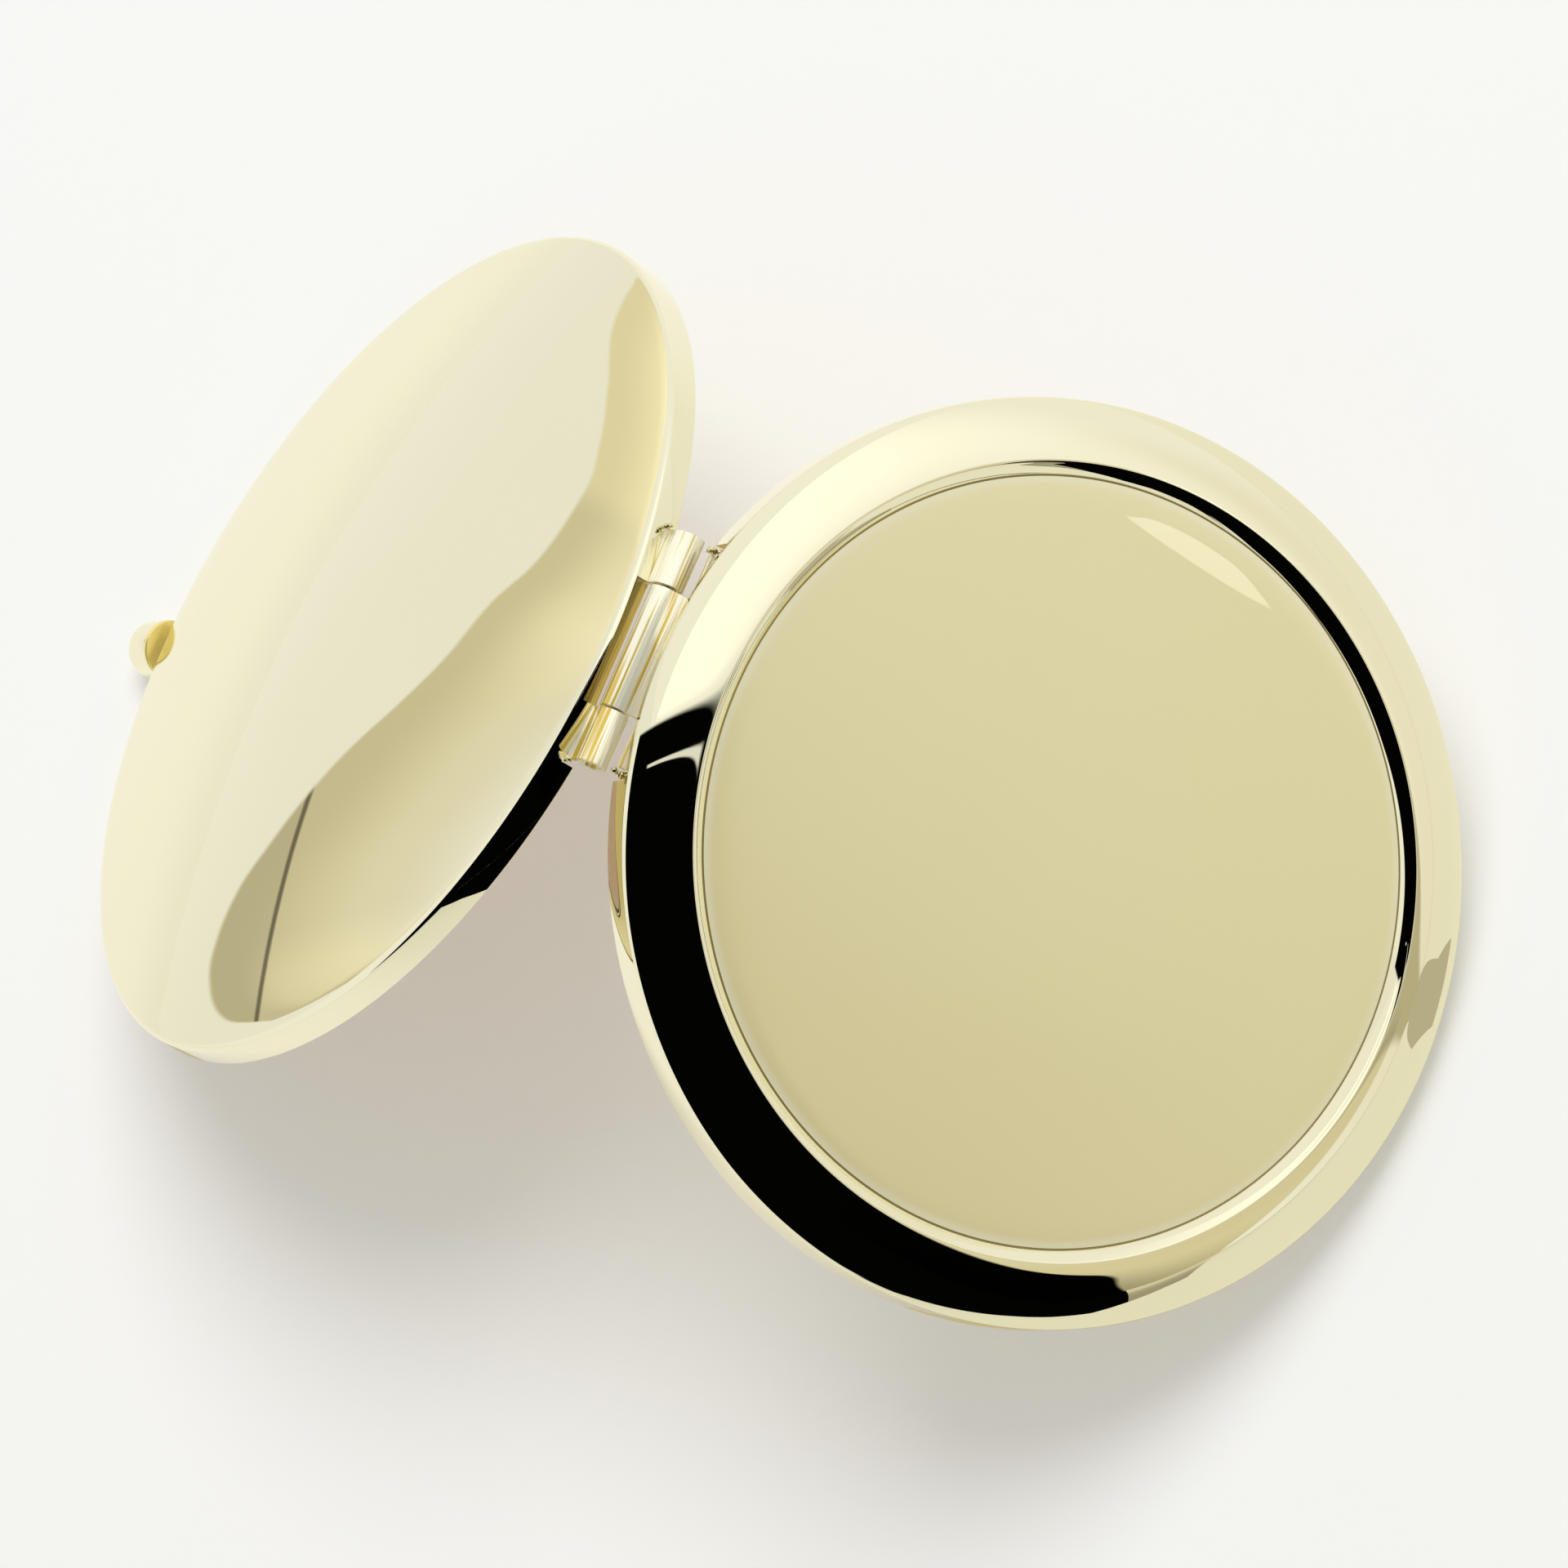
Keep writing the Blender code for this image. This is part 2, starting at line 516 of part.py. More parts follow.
def build_mirror(lid):
    """Round glass mirror on a foam pad, held by a flanged ring."""
    pad = [
        (0.0, MIRROR_PAD_LOW), (MIRROR_PAD_RADIUS, MIRROR_PAD_LOW),
        (MIRROR_PAD_RADIUS, MIRROR_PAD_TOP), (0.0, MIRROR_PAD_TOP),
    ]
    turned("mirror_pad", pad, lid, PAPER, 40, disc_place())
    glass = [
        (0.0, MIRROR_FACE), (MIRROR_RADIUS - MIRROR_BEVEL, MIRROR_FACE),
        (MIRROR_RADIUS, MIRROR_FACE + MIRROR_BEVEL), (MIRROR_RADIUS, MIRROR_BACK), (0.0, MIRROR_BACK),
    ]
    turned("mirror_glass", glass, lid, MIRROR, 64, disc_place())
    under = RING_FACE + RING_SHEET
    ring_outline = [
        (RING_INNER, RING_FACE + RING_CHAMFER), (RING_INNER + RING_CHAMFER, RING_FACE),
        (RING_OUTER, RING_FACE), (RING_OUTER, RING_SKIRT), (RING_OUTER - RING_SKIRT_SHEET, RING_SKIRT),
        (RING_OUTER - RING_SKIRT_SHEET, under), (RING_INNER, under),
    ]
    ring = turned("mirror_ring", ring_outline, lid, SATIN_GOLD, 64, disc_place())
    hinge_notch = guide_box("ring_hinge_notch", (-MM, -INNER_NOTCH_HALF, 0.0),
                            (INNER_NOTCH_END, INNER_NOTCH_HALF, 3 * MM), lid)
    latch_notch = guide_box("ring_latch_notch", (LATCH_NOTCH_REAR, -LATCH_NOTCH_HALF, 0.0),
                            (FAR_RIM, LATCH_NOTCH_HALF, 3 * MM), lid)
    combine(ring, "DIFFERENCE", hinge_notch, latch_notch)


def build_lid_catch(lid):
    """Small bracket inside the far wall, whose lip the latch prongs hook behind."""
    outline = [
        (CATCH_FACE, CATCH_LOW), (CATCH_BACK, CATCH_LOW), (CATCH_BACK, CATCH_TOP),
        (CATCH_PLATE, CATCH_TOP), (CATCH_PLATE, CATCH_LIP), (CATCH_FACE, CATCH_LIP),
    ]
    extruded("lid_catch", outline, "Y", -CATCH_HALF_WIDTH, CATCH_HALF_WIDTH, lid, STEEL)


# ---------------------------------------------------------------- stance

def standing_tilt():
    """Turn about Y that puts the button's rounded edge and the lid's far rim on one level."""
    half = OPENING_ANGLE / 2
    edge_x = FAR_RIM + BUTTON_STANDOFF + BUTTON_SIDE
    edge_z = BUTTON_HEIGHT - (BUTTON_RADIUS - BUTTON_FILLET)
    button_x = -edge_x * math.sin(half) - edge_z * math.cos(half)
    button_z = -edge_x * math.cos(half) + edge_z * math.sin(half)
    rim_x = FAR_RIM * math.sin(half) + SEAM_GAP * math.cos(half)
    rim_z = -FAR_RIM * math.cos(half) + SEAM_GAP * math.sin(half)
    span = math.hypot(rim_x - button_x, rim_z - button_z)
    return math.atan2(rim_z - button_z, rim_x - button_x) + math.asin(BUTTON_FILLET / span)


def make_frames():
    """The stance empty on the hinge axis, and one empty for each half and for the button."""
    frames = {}
    for name in ("stance", "base_frame", "lid_frame", "button_frame"):
        frames[name] = bpy.data.objects.new(name, None)
        bpy.context.scene.collection.objects.link(frames[name])
    frames["stance"].rotation_euler = (0.0, standing_tilt(), 0.0)
    lean = math.radians(90) - OPENING_ANGLE / 2
    frames["lid_frame"].parent = frames["stance"]
    frames["lid_frame"].matrix_local = Matrix.Rotation(lean, 4, "Y")
    frames["base_frame"].parent = frames["stance"]
    half_turn = Matrix.Rotation(math.radians(180), 4, "Z")
    frames["base_frame"].matrix_local = half_turn @ Matrix.Rotation(lean, 4, "Y")
    frames["button_frame"].parent = frames["base_frame"]
    return frames


def set_down(stance):
    """Move the whole compact so it stands on Z = 0 with its X span centred on the origin."""
    bpy.context.view_layer.update()
    depsgraph = bpy.context.evaluated_depsgraph_get()
    points = []
    for obj in bpy.context.scene.objects:
        if obj.type == "MESH" and not obj.hide_render:
            seen = obj.evaluated_get(depsgraph)
            points += [seen.matrix_world @ vert.co for vert in seen.data.vertices]
    low_x = min(point.x for point in points)
    high_x = max(point.x for point in points)
    stance.location = (-(low_x + high_x) / 2, 0.0, -min(point.z for point in points))
    bpy.context.view_layer.update()


def main():
    clear_scene()
    frames = make_frames()
    base, lid, button = frames["base_frame"], frames["lid_frame"], frames["button_frame"]
    build_base_shell(base)
    build_base_tray(base)
    build_pan_and_powder(base)
    build_hinge(base, lid)
    build_push_button(button)
    build_latch_slider(button)
    build_latch_guide(base)
    build_latch_spring(base)
    build_lid_shell(lid)
    build_mirror(lid)
    build_lid_catch(lid)
    set_down(frames["stance"])


main()
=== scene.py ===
"""Looks for the round powder compact: fine metalwork, materials, floor, light and camera.

Lengths inside a half frame are in millimetres: X runs from the hinge axis to the far rim, Y lies
along the hinge axis, and Z points out of the compact from the plane where the two halves meet.
"""
import json
import math
import random

import bmesh
import bpy
from mathutils import Euler, Matrix, Vector, noise


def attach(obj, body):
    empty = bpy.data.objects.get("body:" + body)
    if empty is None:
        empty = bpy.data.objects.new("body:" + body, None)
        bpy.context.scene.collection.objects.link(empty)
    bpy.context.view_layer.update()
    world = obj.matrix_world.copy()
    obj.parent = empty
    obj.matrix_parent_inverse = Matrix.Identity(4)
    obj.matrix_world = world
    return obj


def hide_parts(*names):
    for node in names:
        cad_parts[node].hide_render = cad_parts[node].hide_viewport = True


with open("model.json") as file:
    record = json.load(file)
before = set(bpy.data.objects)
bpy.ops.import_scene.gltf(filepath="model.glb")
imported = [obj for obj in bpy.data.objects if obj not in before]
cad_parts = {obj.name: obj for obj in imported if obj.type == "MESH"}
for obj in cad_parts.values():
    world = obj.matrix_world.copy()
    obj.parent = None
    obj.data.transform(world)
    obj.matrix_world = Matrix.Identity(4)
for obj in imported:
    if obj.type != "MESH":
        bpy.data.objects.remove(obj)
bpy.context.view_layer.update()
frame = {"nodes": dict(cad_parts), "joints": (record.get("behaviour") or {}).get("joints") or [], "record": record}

MM = 0.001

# Shells
DISC_RADIUS = 35.0
HINGE_TO_CENTRE = 35.65
FAR_RIM = HINGE_TO_CENTRE + DISC_RADIUS
NEAR_RIM = HINGE_TO_CENTRE - DISC_RADIUS
SEAM_GAP = 0.15
SEAM_STEP = 0.02
SHEET = 0.5
LIP = 0.07
LIP_STEPS = 3
SHELL_SIDES = 320
SHARP_ANGLE = 32.0
BASE_WALL = 2.7
BASE_CORNER = 0.55
BASE_DOME = 3.1
BASE_DOME_POWER = 2.3
DOME_STEPS = 56
LID_SHOULDER = 2.72
LID_CORNER = 0.38
CREST_RADIUS = 30.08
CREST_HEIGHT = 4.76
CREST_BEND = 0.32
INNER_TILT = math.radians(42.0)
BEVEL_SWELL = 0.04
FOOT_RADIUS = 29.08
FOOT_RISE = 0.02
SHOULDER_TILT = 42.0
SHOULDER_STEPS = 36
BEND_STEPS = 6
BEVEL_STEPS = 10
RECESS_FLOOR = 4.0
GROOVE_RADIUS = 29.0
GROOVE = ((0.05, 0.05), (0.0, 0.055), (-0.06, 0.0))      # outwards from its radius, depth
FLOOR_CROWN = ((28.7, 0.004), (28.2, 0.012), (27.2, 0.014), (25.0, 0.012), (18.0, 0.006), (9.0, 0.002),
               (0.0, 0.0))                               # radius, rise over the recess floor
BASE_NOTCH_DEPTH = 3.0
BASE_NOTCH_TOP = 2.2
LID_NOTCH_DEPTH = 3.2
LID_NOTCH_TOP = 2.3
SHANK_SLOT_HALF = 1.5
SHANK_SLOT_LOW = 0.45
SHANK_SLOT_HIGH = 1.55
SHANK_SLOT_ROUND = 0.12

# Hinge
KNUCKLE_RADIUS = 1.2
LEAF_SHEET = 0.5
LEAF_LENGTH = 3.6
LEAF_STEP = 1.7
LEAF_EDGE = 0.06
ROLL_END = 372
HINGE_HALF = 9.5
OUTER_START = 5.15
MIDDLE_HALF = 4.95
LID_LEAF_HALF = 8.8
NOTCH_HALF = 9.8
SOLDER_ROWS = (("base", 1.15, 1.32, (-9.75, 9.6)), ("lid", 1.5, 1.28, (-9.3, 9.1)))   # half, x, z, two ys
SOLDER_DROPS = 7
SOLDER_STEP = 0.32

# Button
BUTTON_HEIGHT = 1.27
BUTTON_RADIUS = 2.35
BUTTON_STANDOFF = 1.0
BUTTON_SIDE = 2.5
BUTTON_FILLET = 1.1
BUTTON_EDGE = 0.16
BUTTON_CROWN = ((1.0, 0.05), (0.7, 0.09), (0.35, 0.12), (0.0, 0.12))     # radius, rise over the fillet
BUTTON_BACK_BANDS = 8
BUTTON_SIDES = 96
SHANK_START = 66.0
SHANK_HALF = 1.2
SHANK_LOW = 0.75
SHANK_HIGH = 1.25


# ---------------------------------------------------------------- frames

def half_frames():
    """World matrices of the two half frames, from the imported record."""
    joints = {joint["name"]: joint for joint in frame["joints"]}
    hinge = Vector(joints["lid_hinge"]["pos_m"])
    press = Vector(joints["button_press"]["axis"])
    lid_z = Vector(frame["record"]["mounts"][0]["axis"])
    lid_y = Vector((0.0, 1.0, 0.0))
    base_x = -press
    base_y = Vector((0.0, -1.0, 0.0))

    def matrix(x, y, z):
        rows = Matrix((x.normalized(), y.normalized(), z.normalized())).transposed().to_4x4()
        return Matrix.Translation(hinge) @ rows

    return {
        "lid": matrix(lid_y.cross(lid_z), lid_y, lid_z),
        "base": matrix(base_x, base_y, base_x.cross(base_y)),
    }


HALVES = half_frames()
HALVES["button"] = HALVES["base"]


# ---------------------------------------------------------------- mesh tools

def add_piece(name, bm, half, body, materials, smooth_angle=SHARP_ANGLE):
    """Finish a bmesh drawn in millimetres in a half frame, place it and ride it on its body."""
    bmesh.ops.recalc_face_normals(bm, faces=bm.faces)
    bmesh.ops.scale(bm, vec=(MM, MM, MM), verts=bm.verts)
    bm.transform(HALVES[half])
    mesh = bpy.data.meshes.new(name)
    bm.to_mesh(mesh)
    bm.free()
    for material in materials:
        mesh.materials.append(material)
    mesh.shade_smooth()
    mesh.set_sharp_from_angle(angle=math.radians(smooth_angle))
    obj = bpy.data.objects.new(name, mesh)
    bpy.context.scene.collection.objects.link(obj)
    if body:
        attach(obj, body)
    return obj


def lathe(bm, outline, sides, place, slots=None):
    """Turn a closed outline of (radius, height) about its axis; slots gives each band's material."""
    rings = []
    for radius, height in outline:
        if radius < 1e-6:
            rings.append([bm.verts.new(place @ Vector((0.0, 0.0, height)))] * sides)
            continue
        ring = []
        for i in range(sides):
            angle = 2 * math.pi * i / sides
            point = Vector((radius * math.cos(angle), radius * math.sin(angle), height))
            ring.append(bm.verts.new(place @ point))
        rings.append(ring)
    for band, (ring, following) in enumerate(zip(rings, rings[1:] + rings[:1])):
        for i in range(sides):
            j = (i + 1) % sides
            corners = []
            for vert in (ring[i], ring[j], following[j], following[i]):
                if vert not in corners:
                    corners.append(vert)
            if len(corners) > 2:
                face = bm.faces.new(corners)
                if slots:
                    face.material_index = slots[band]


def extrude_outline(bm, outline, stations):
    """Sweep a closed (x, z) outline along Y through the given stations, with flat ends."""
    rings = [[bm.verts.new((x, y, z)) for x, z in outline] for y in stations]
    count = len(outline)
    for ring, following in zip(rings, rings[1:]):
        for i in range(count):
            j = (i + 1) % count
            bm.faces.new((ring[i], ring[j], following[j], following[i]))
    bm.faces.new(rings[0])
    bm.faces.new(rings[-1])


def arc(centre, radius, start, end, steps):
    """Points round a centre from the start to the end angle, in degrees."""
    points = []
    for i in range(steps + 1):
        angle = math.radians(start + (end - start) * i / steps)
        points.append((centre[0] + radius * math.cos(angle), centre[1] + radius * math.sin(angle)))
    return points


def offset(points, distance):
    """Points moved square to the outline's direction, into the sheet."""
    moved = []
    for i, (r, h) in enumerate(points):
        before = points[max(i - 1, 0)]
        after = points[min(i + 1, len(points) - 1)]
        dr, dh = after[0] - before[0], after[1] - before[1]
        length = math.hypot(dr, dh)
        moved.append((max(r - distance * dh / length, 0.0), h + distance * dr / length))
    return moved


def box(bm, low, high):
    """A box from corner to corner, in an empty bmesh."""
    bmesh.ops.create_cube(bm, size=1.0)
    for vert in bm.verts:
        share = vert.co + Vector((0.5, 0.5, 0.5))
        vert.co = Vector(a + (b - a) * s for a, b, s in zip(low, high, share))


def cutter_box(name, low, high, half, bevel=0.0, slot=0):
    """A box to cut with; slot is the material the cut faces get on the piece."""
    bm = bmesh.new()
    box(bm, low, high)
    for face in bm.faces:
        face.material_index = slot
    if bevel:
        bmesh.ops.bevel(bm, geom=bm.edges[:], offset=bevel, segments=3, affect="EDGES", profile=0.5)
    return add_piece(name, bm, half, None, [])


def cut(obj, *cutters):
    """Cut boxes out of a piece and apply the result to its mesh."""
    for cutter in cutters:
        modifier = obj.modifiers.new(cutter.name, "BOOLEAN")
        modifier.operation = "DIFFERENCE"
        modifier.solver = "EXACT"
        modifier.object = cutter
    apply_modifiers(obj)
    for cutter in cutters:
        bpy.data.objects.remove(cutter, do_unlink=True)


def soften(obj, width):
    """Round the sharp edges a little and apply the result."""
    bevel = obj.modifiers.new("soften", "BEVEL")
    bevel.width = width * MM
    bevel.segments = 2
    bevel.limit_method = "ANGLE"
    bevel.angle_limit = math.radians(40)
    bevel.harden_normals = True
    apply_modifiers(obj)


def apply_modifiers(obj):
    bpy.context.view_layer.update()
    seen = obj.evaluated_get(bpy.context.evaluated_depsgraph_get())
    mesh = bpy.data.meshes.new_from_object(seen)
    obj.modifiers.clear()
    obj.data = mesh
    mesh.set_sharp_from_angle(angle=math.radians(SHARP_ANGLE))


def disc_axis():
    return Matrix.Translation((HINGE_TO_CENTRE, 0.0, 0.0))


# ---------------------------------------------------------------- materials

class Nodes:
    """Adds and links the nodes of one shader tree."""

    def __init__(self, tree):
        self.tree = tree
        tree.nodes.clear()

    def new(self, kind, **settings):
        node = self.tree.nodes.new("ShaderNode" + kind)
        for key, value in settings.items():
            setattr(node, key, value)
        return node

    def put(self, socket, value):
        """Link another node's output, or set a plain number, vector or (red, green, blue)."""
        if isinstance(value, bpy.types.NodeSocket):
            self.tree.links.new(value, socket)
        elif socket.type == "RGBA":
            socket.default_value = (*value, 1.0)
        else:
            socket.default_value = value

    def math(self, operation, first, second=0.0, third=0.0):
        node = self.new("Math", operation=operation)
        for socket, value in zip(node.inputs, (first, second, third)):
            self.put(socket, value)
        return node.outputs[0]

    def step(self, value, low, high, bottom=0.0, top=1.0, smooth="SMOOTHSTEP"):
        """Smooth change from bottom to top while value goes from low to high."""
        node = self.new("MapRange", interpolation_type=smooth)
        for socket, given in zip(node.inputs, (value, low, high, bottom, top)):
            self.put(socket, given)
        return node.outputs[0]

    def mix(self, share, first, second):
        """Colour that goes from first to second as share goes from 0 to 1."""
        node = self.new("Mix", data_type="RGBA")
        self.put(node.inputs[0], share)
        self.put(node.inputs[6], first)
        self.put(node.inputs[7], second)
        return node.outputs[2]

    def place(self):
        """Where the shaded point lies in its own object, in metres."""
        return self.new("TexCoord").outputs["Object"]

    def split(self, vector):
        node = self.new("SeparateXYZ")
        self.put(node.inputs[0], vector)
        return node.outputs

    def stretch(self, vector, scale, turn=0.0):
        """Coordinates scaled differently along each axis, which draws a noise out into lines."""
        node = self.new("Mapping")
        node.inputs["Rotation"].default_value = (0.0, 0.0, turn)
        node.inputs["Scale"].default_value = scale
        self.put(node.inputs["Vector"], vector)
        return node.outputs[0]

    def noise(self, coordinates, scale, detail=3.0, roughness=0.5):
        node = self.new("TexNoise")
        self.put(node.inputs["Vector"], coordinates)
        node.inputs["Scale"].default_value = scale
        node.inputs["Detail"].default_value = detail
        node.inputs["Roughness"].default_value = roughness
        return node.outputs["Fac"]

    def bump(self, height, strength, distance, normal=None):
        node = self.new("Bump")
        node.inputs["Strength"].default_value = strength
        node.inputs["Distance"].default_value = distance
        self.put(node.inputs["Height"], height)
        if normal:
            self.put(node.inputs["Normal"], normal)
        return node.outputs[0]


def shader_material(name, kind):
    """A material with one shader of the given kind."""
    material = bpy.data.materials.new(name)
    material.use_nodes = True
    nodes = Nodes(material.node_tree)
    shader = nodes.new(kind)
    nodes.put(nodes.new("OutputMaterial").inputs[0], shader.outputs[0])
    return material, nodes, shader


def principled(name, metallic):
    """A material with a principled shader, and where the shaded point lies."""
    material, nodes, shader = shader_material(name, "BsdfPrincipled")
    shader.inputs["Metallic"].default_value = metallic
    return material, nodes, shader, nodes.place()


def metal(name, colour, deep_tone, rough, rough_spread, grain, grain_depth, smudge=60.0, metallic=1.0):
    """Plated metal: slow colour drift, faint wiped smears in the gloss and a fine surface grain."""
    material, nodes, shader, where = principled(name, metallic)
    drift = nodes.noise(where, 28.0, 2.0)
    nodes.put(shader.inputs["Base Color"], nodes.mix(nodes.step(drift, 0.35, 0.75), colour, deep_tone))
    smear = nodes.noise(where, smudge, 5.0, 0.6)
    fine = nodes.noise(where, smudge * 14.0, 2.0)
    gloss = nodes.math("MULTIPLY", fine, rough_spread * 0.3)
    gloss = nodes.math("ADD", nodes.step(smear, 0.4, 0.8, rough, rough + rough_spread), gloss)
    nodes.put(shader.inputs["Roughness"], gloss)
    height = nodes.noise(where, grain, 2.0)
    nodes.put(shader.inputs["Normal"], nodes.bump(height, 1.0, grain_depth))
    return material


def brushed(name, colour, deep_tone, rough):
    """Plain plated steel with drawing lines along the piece and darker handling marks."""
    material, nodes, shader, where = principled(name, 1.0)
    lines = nodes.noise(nodes.stretch(where, (300.0, 6000.0, 6000.0)), 1.0)
    marks = nodes.noise(where, 350.0, 4.0)
    nodes.put(shader.inputs["Base Color"], nodes.mix(nodes.step(marks, 0.4, 0.75), colour, deep_tone))
    nodes.put(shader.inputs["Roughness"], nodes.step(lines, 0.3, 0.7, rough, rough + 0.15))
    nodes.put(shader.inputs["Normal"], nodes.bump(lines, 0.6, 0.00001))
    return material


def drawn_gold(name, colour, deep_tone, rough, metallic):
    """Gold flash over drawn brass strip: lengthwise ridges with deeper colour in the valleys."""
    material, nodes, shader, where = principled(name, metallic)
    ridges = nodes.noise(nodes.stretch(where, (2600.0, 60.0, 2600.0)), 1.0, 2.0)
    pits = nodes.noise(where, 3000.0)
    nodes.put(shader.inputs["Base Color"], nodes.mix(nodes.step(ridges, 0.40, 0.50), deep_tone, colour))
    nodes.put(shader.inputs["Roughness"], nodes.step(pits, 0.3, 0.7, rough, rough + 0.08))
    drawn = nodes.bump(ridges, 1.0, 0.00012)
    nodes.put(shader.inputs["Normal"], nodes.bump(pits, 0.1, 0.000004, drawn))
    return material


def satin_gold(name, colour, deep_tone, rough, centre=None):
    """Fine bead-blasted gold under milky lacquer, with painted shade that darkens it towards -X and -Y.

    A round panel gives its centre in metres, and gets a clear coat and a paler rim.
    """
    material, nodes, shader, where = principled(name, SATIN_METALLIC)
    x, y = nodes.split(where)[:2]
    # Painted shade: the colour turns to its second, deeper tone towards -X and -Y, with a little random drift
    across = nodes.math("MULTIPLY", x, SATIN_SHADE_SLOPE[0])
    across = nodes.math("MULTIPLY_ADD", y, SATIN_SHADE_SLOPE[1], across)
    drift = nodes.math("SUBTRACT", nodes.noise(where, 40.0), 0.5)
    share = nodes.math("MULTIPLY_ADD", drift, 0.012, across)
    tint = nodes.mix(nodes.step(share, -0.022, 0.030), colour, deep_tone)
    if centre:
        away = nodes.new("VectorMath", operation="DISTANCE")
        nodes.put(away.inputs[0], where)
        nodes.put(away.inputs[1], centre)
        tint = nodes.mix(nodes.step(away.outputs["Value"], *PANEL_RIM_BAND), tint, PANEL_RIM)
        shader.inputs["Coat Weight"].default_value = 1.0
        shader.inputs["Coat Roughness"].default_value = COAT_ROUGHNESS
    nodes.put(shader.inputs["Base Color"], tint)
    cloud = nodes.noise(where, 90.0, 4.0)
    nodes.put(shader.inputs["Roughness"], nodes.step(cloud, 0.3, 0.8, rough, rough + 0.035))
    pits = nodes.noise(where, 2600.0)
    nodes.put(shader.inputs["Normal"], nodes.bump(pits, 0.3, 0.0000012))
    return material


def mirror_material(name):
    """Silvered glass with a faint haze of dust and fine wiping marks."""
    material, nodes, shader, where = principled(name, 1.0)
    haze = nodes.noise(where, 70.0, 6.0, 0.65)
    tint = nodes.mix(nodes.step(haze, 0.45, 0.8), (0.90, 0.92, 0.92), (0.84, 0.87, 0.87))
    nodes.put(shader.inputs["Base Color"], tint)
    nodes.put(shader.inputs["Roughness"], nodes.step(haze, 0.5, 0.85, 0.015, 0.06))
    wiped = nodes.noise(nodes.stretch(where, (40.0, 5200.0, 100.0), 0.6), 1.0, 1.0)
    nodes.put(shader.inputs["Normal"], nodes.bump(wiped, 0.04, 0.000002))
    return material


def powder_material(name):
    """Pressed face powder: matte, finely speckled, with the press cloth's faint weave."""
    material, nodes, shader, where = principled(name, 0.0)
    speck = nodes.noise(where, 4200.0, 3.0, 0.7)
    patch = nodes.noise(where, 130.0, 4.0)
    tint = nodes.mix(nodes.step(patch, 0.3, 0.7), (0.62, 0.42, 0.30), (0.68, 0.47, 0.345))
    tint = nodes.mix(nodes.step(speck, 0.55, 0.75), tint, (0.76, 0.57, 0.45))
    nodes.put(shader.inputs["Base Color"], tint)
    nodes.put(shader.inputs["Roughness"], nodes.step(patch, 0.3, 0.7, 0.88, 0.98))
    shader.inputs["Sheen Weight"].default_value = 0.25
    shader.inputs["Sheen Roughness"].default_value = 0.5
    threads = [nodes.math("SINE", nodes.math("MULTIPLY", along, CLOTH_PITCH))
               for along in nodes.split(where)[:2]]
    cloth = nodes.bump(nodes.math("ADD", *threads), 0.35, 0.00002)
    nodes.put(shader.inputs["Normal"], nodes.bump(speck, 0.5, 0.00003, cloth))
    return material


def pad_material(name):
    """White sticky foam pad with open cells and slightly yellowed patches."""
    material, nodes, shader, where = principled(name, 0.0)
    cells = nodes.new("TexVoronoi")
    cells.inputs["Scale"].default_value = 4500.0
    nodes.put(cells.inputs["Vector"], where)
    patch = nodes.noise(where, 160.0)
    tint = nodes.mix(nodes.step(patch, 0.35, 0.7), (0.80, 0.79, 0.74), (0.74, 0.71, 0.60))
    nodes.put(shader.inputs["Base Color"], tint)
    nodes.put(shader.inputs["Roughness"], nodes.step(patch, 0.3, 0.7, 0.75, 0.9))
    nodes.put(shader.inputs["Normal"], nodes.bump(cells.outputs["Distance"], 0.6, 0.00004))
    return material


SATIN_METALLIC = 0.62
SATIN_SHADE_SLOPE = (-0.42, -0.90)        # painted shade deepens this way, in X and Y
PANEL_COLOUR = (0.975, 0.90, 0.535)
# Painted shade: the satin's colour where the shade is deepest
PANEL_SHADED = (0.885, 0.785, 0.435)
PANEL_RIM = (1.0, 0.95, 0.66)
PANEL_RIM_BAND = (0.0281, 0.0289)   # radii between which the paler rim begins, in metres
PANEL_ROUGHNESS = 0.295
COAT_ROUGHNESS = 0.004
CLOTH_PITCH = 11000.0

GOLD = metal("polished_gold", (0.905, 0.868, 0.640), (0.885, 0.845, 0.605), 0.004, 0.012, 420.0, 0.0000003)
SATIN = satin_gold("satin_gold", PANEL_COLOUR, PANEL_SHADED, PANEL_ROUGHNESS)
INNER_GOLD = metal("inner_gold", (0.86, 0.79, 0.50), (0.80, 0.72, 0.42), 0.30, 0.08, 900.0, 0.000003)
SOLDER = metal("solder_gold", (0.80, 0.73, 0.44), (0.62, 0.55, 0.30), 0.12, 0.2, 2500.0, 0.00003, 500.0)
HINGE_GOLD = drawn_gold("hinge_gold", (1.0, 0.97, 0.76), (0.74, 0.53, 0.09), 0.10, 0.28)
GROOVE_GOLD = satin_gold("groove_gold", (0.46, 0.38, 0.14), (0.34, 0.27, 0.09), 0.30)
# The button's back: its own deep gold, with a brown second tone that is painted shade from its shaded lower side
BACK_GOLD = metal("back_gold", (0.95, 0.80, 0.30), (0.58, 0.38, 0.04), 0.12, 0.10, 700.0, 0.00001,
                  smudge=140.0, metallic=0.5)
# Deeper, darker gold for the notch faces and the leaf inside the middle notch: painted shade of the gaps round the
# hinge
NOTCH_SHADE_GOLD = drawn_gold("notch_shaded_gold", (0.96, 0.78, 0.26), (0.60, 0.40, 0.05), 0.18, 0.5)
STEEL = brushed("latch_steel", (0.62, 0.62, 0.61), (0.50, 0.50, 0.49), 0.29)
TIN = brushed("pan_tin", (0.72, 0.72, 0.73), (0.62, 0.62, 0.63), 0.11)
GLASS = mirror_material("mirror_glass")
POWDER = powder_material("face_powder")
PAD = pad_material("foam_pad")


# ---------------------------------------------------------------- base half

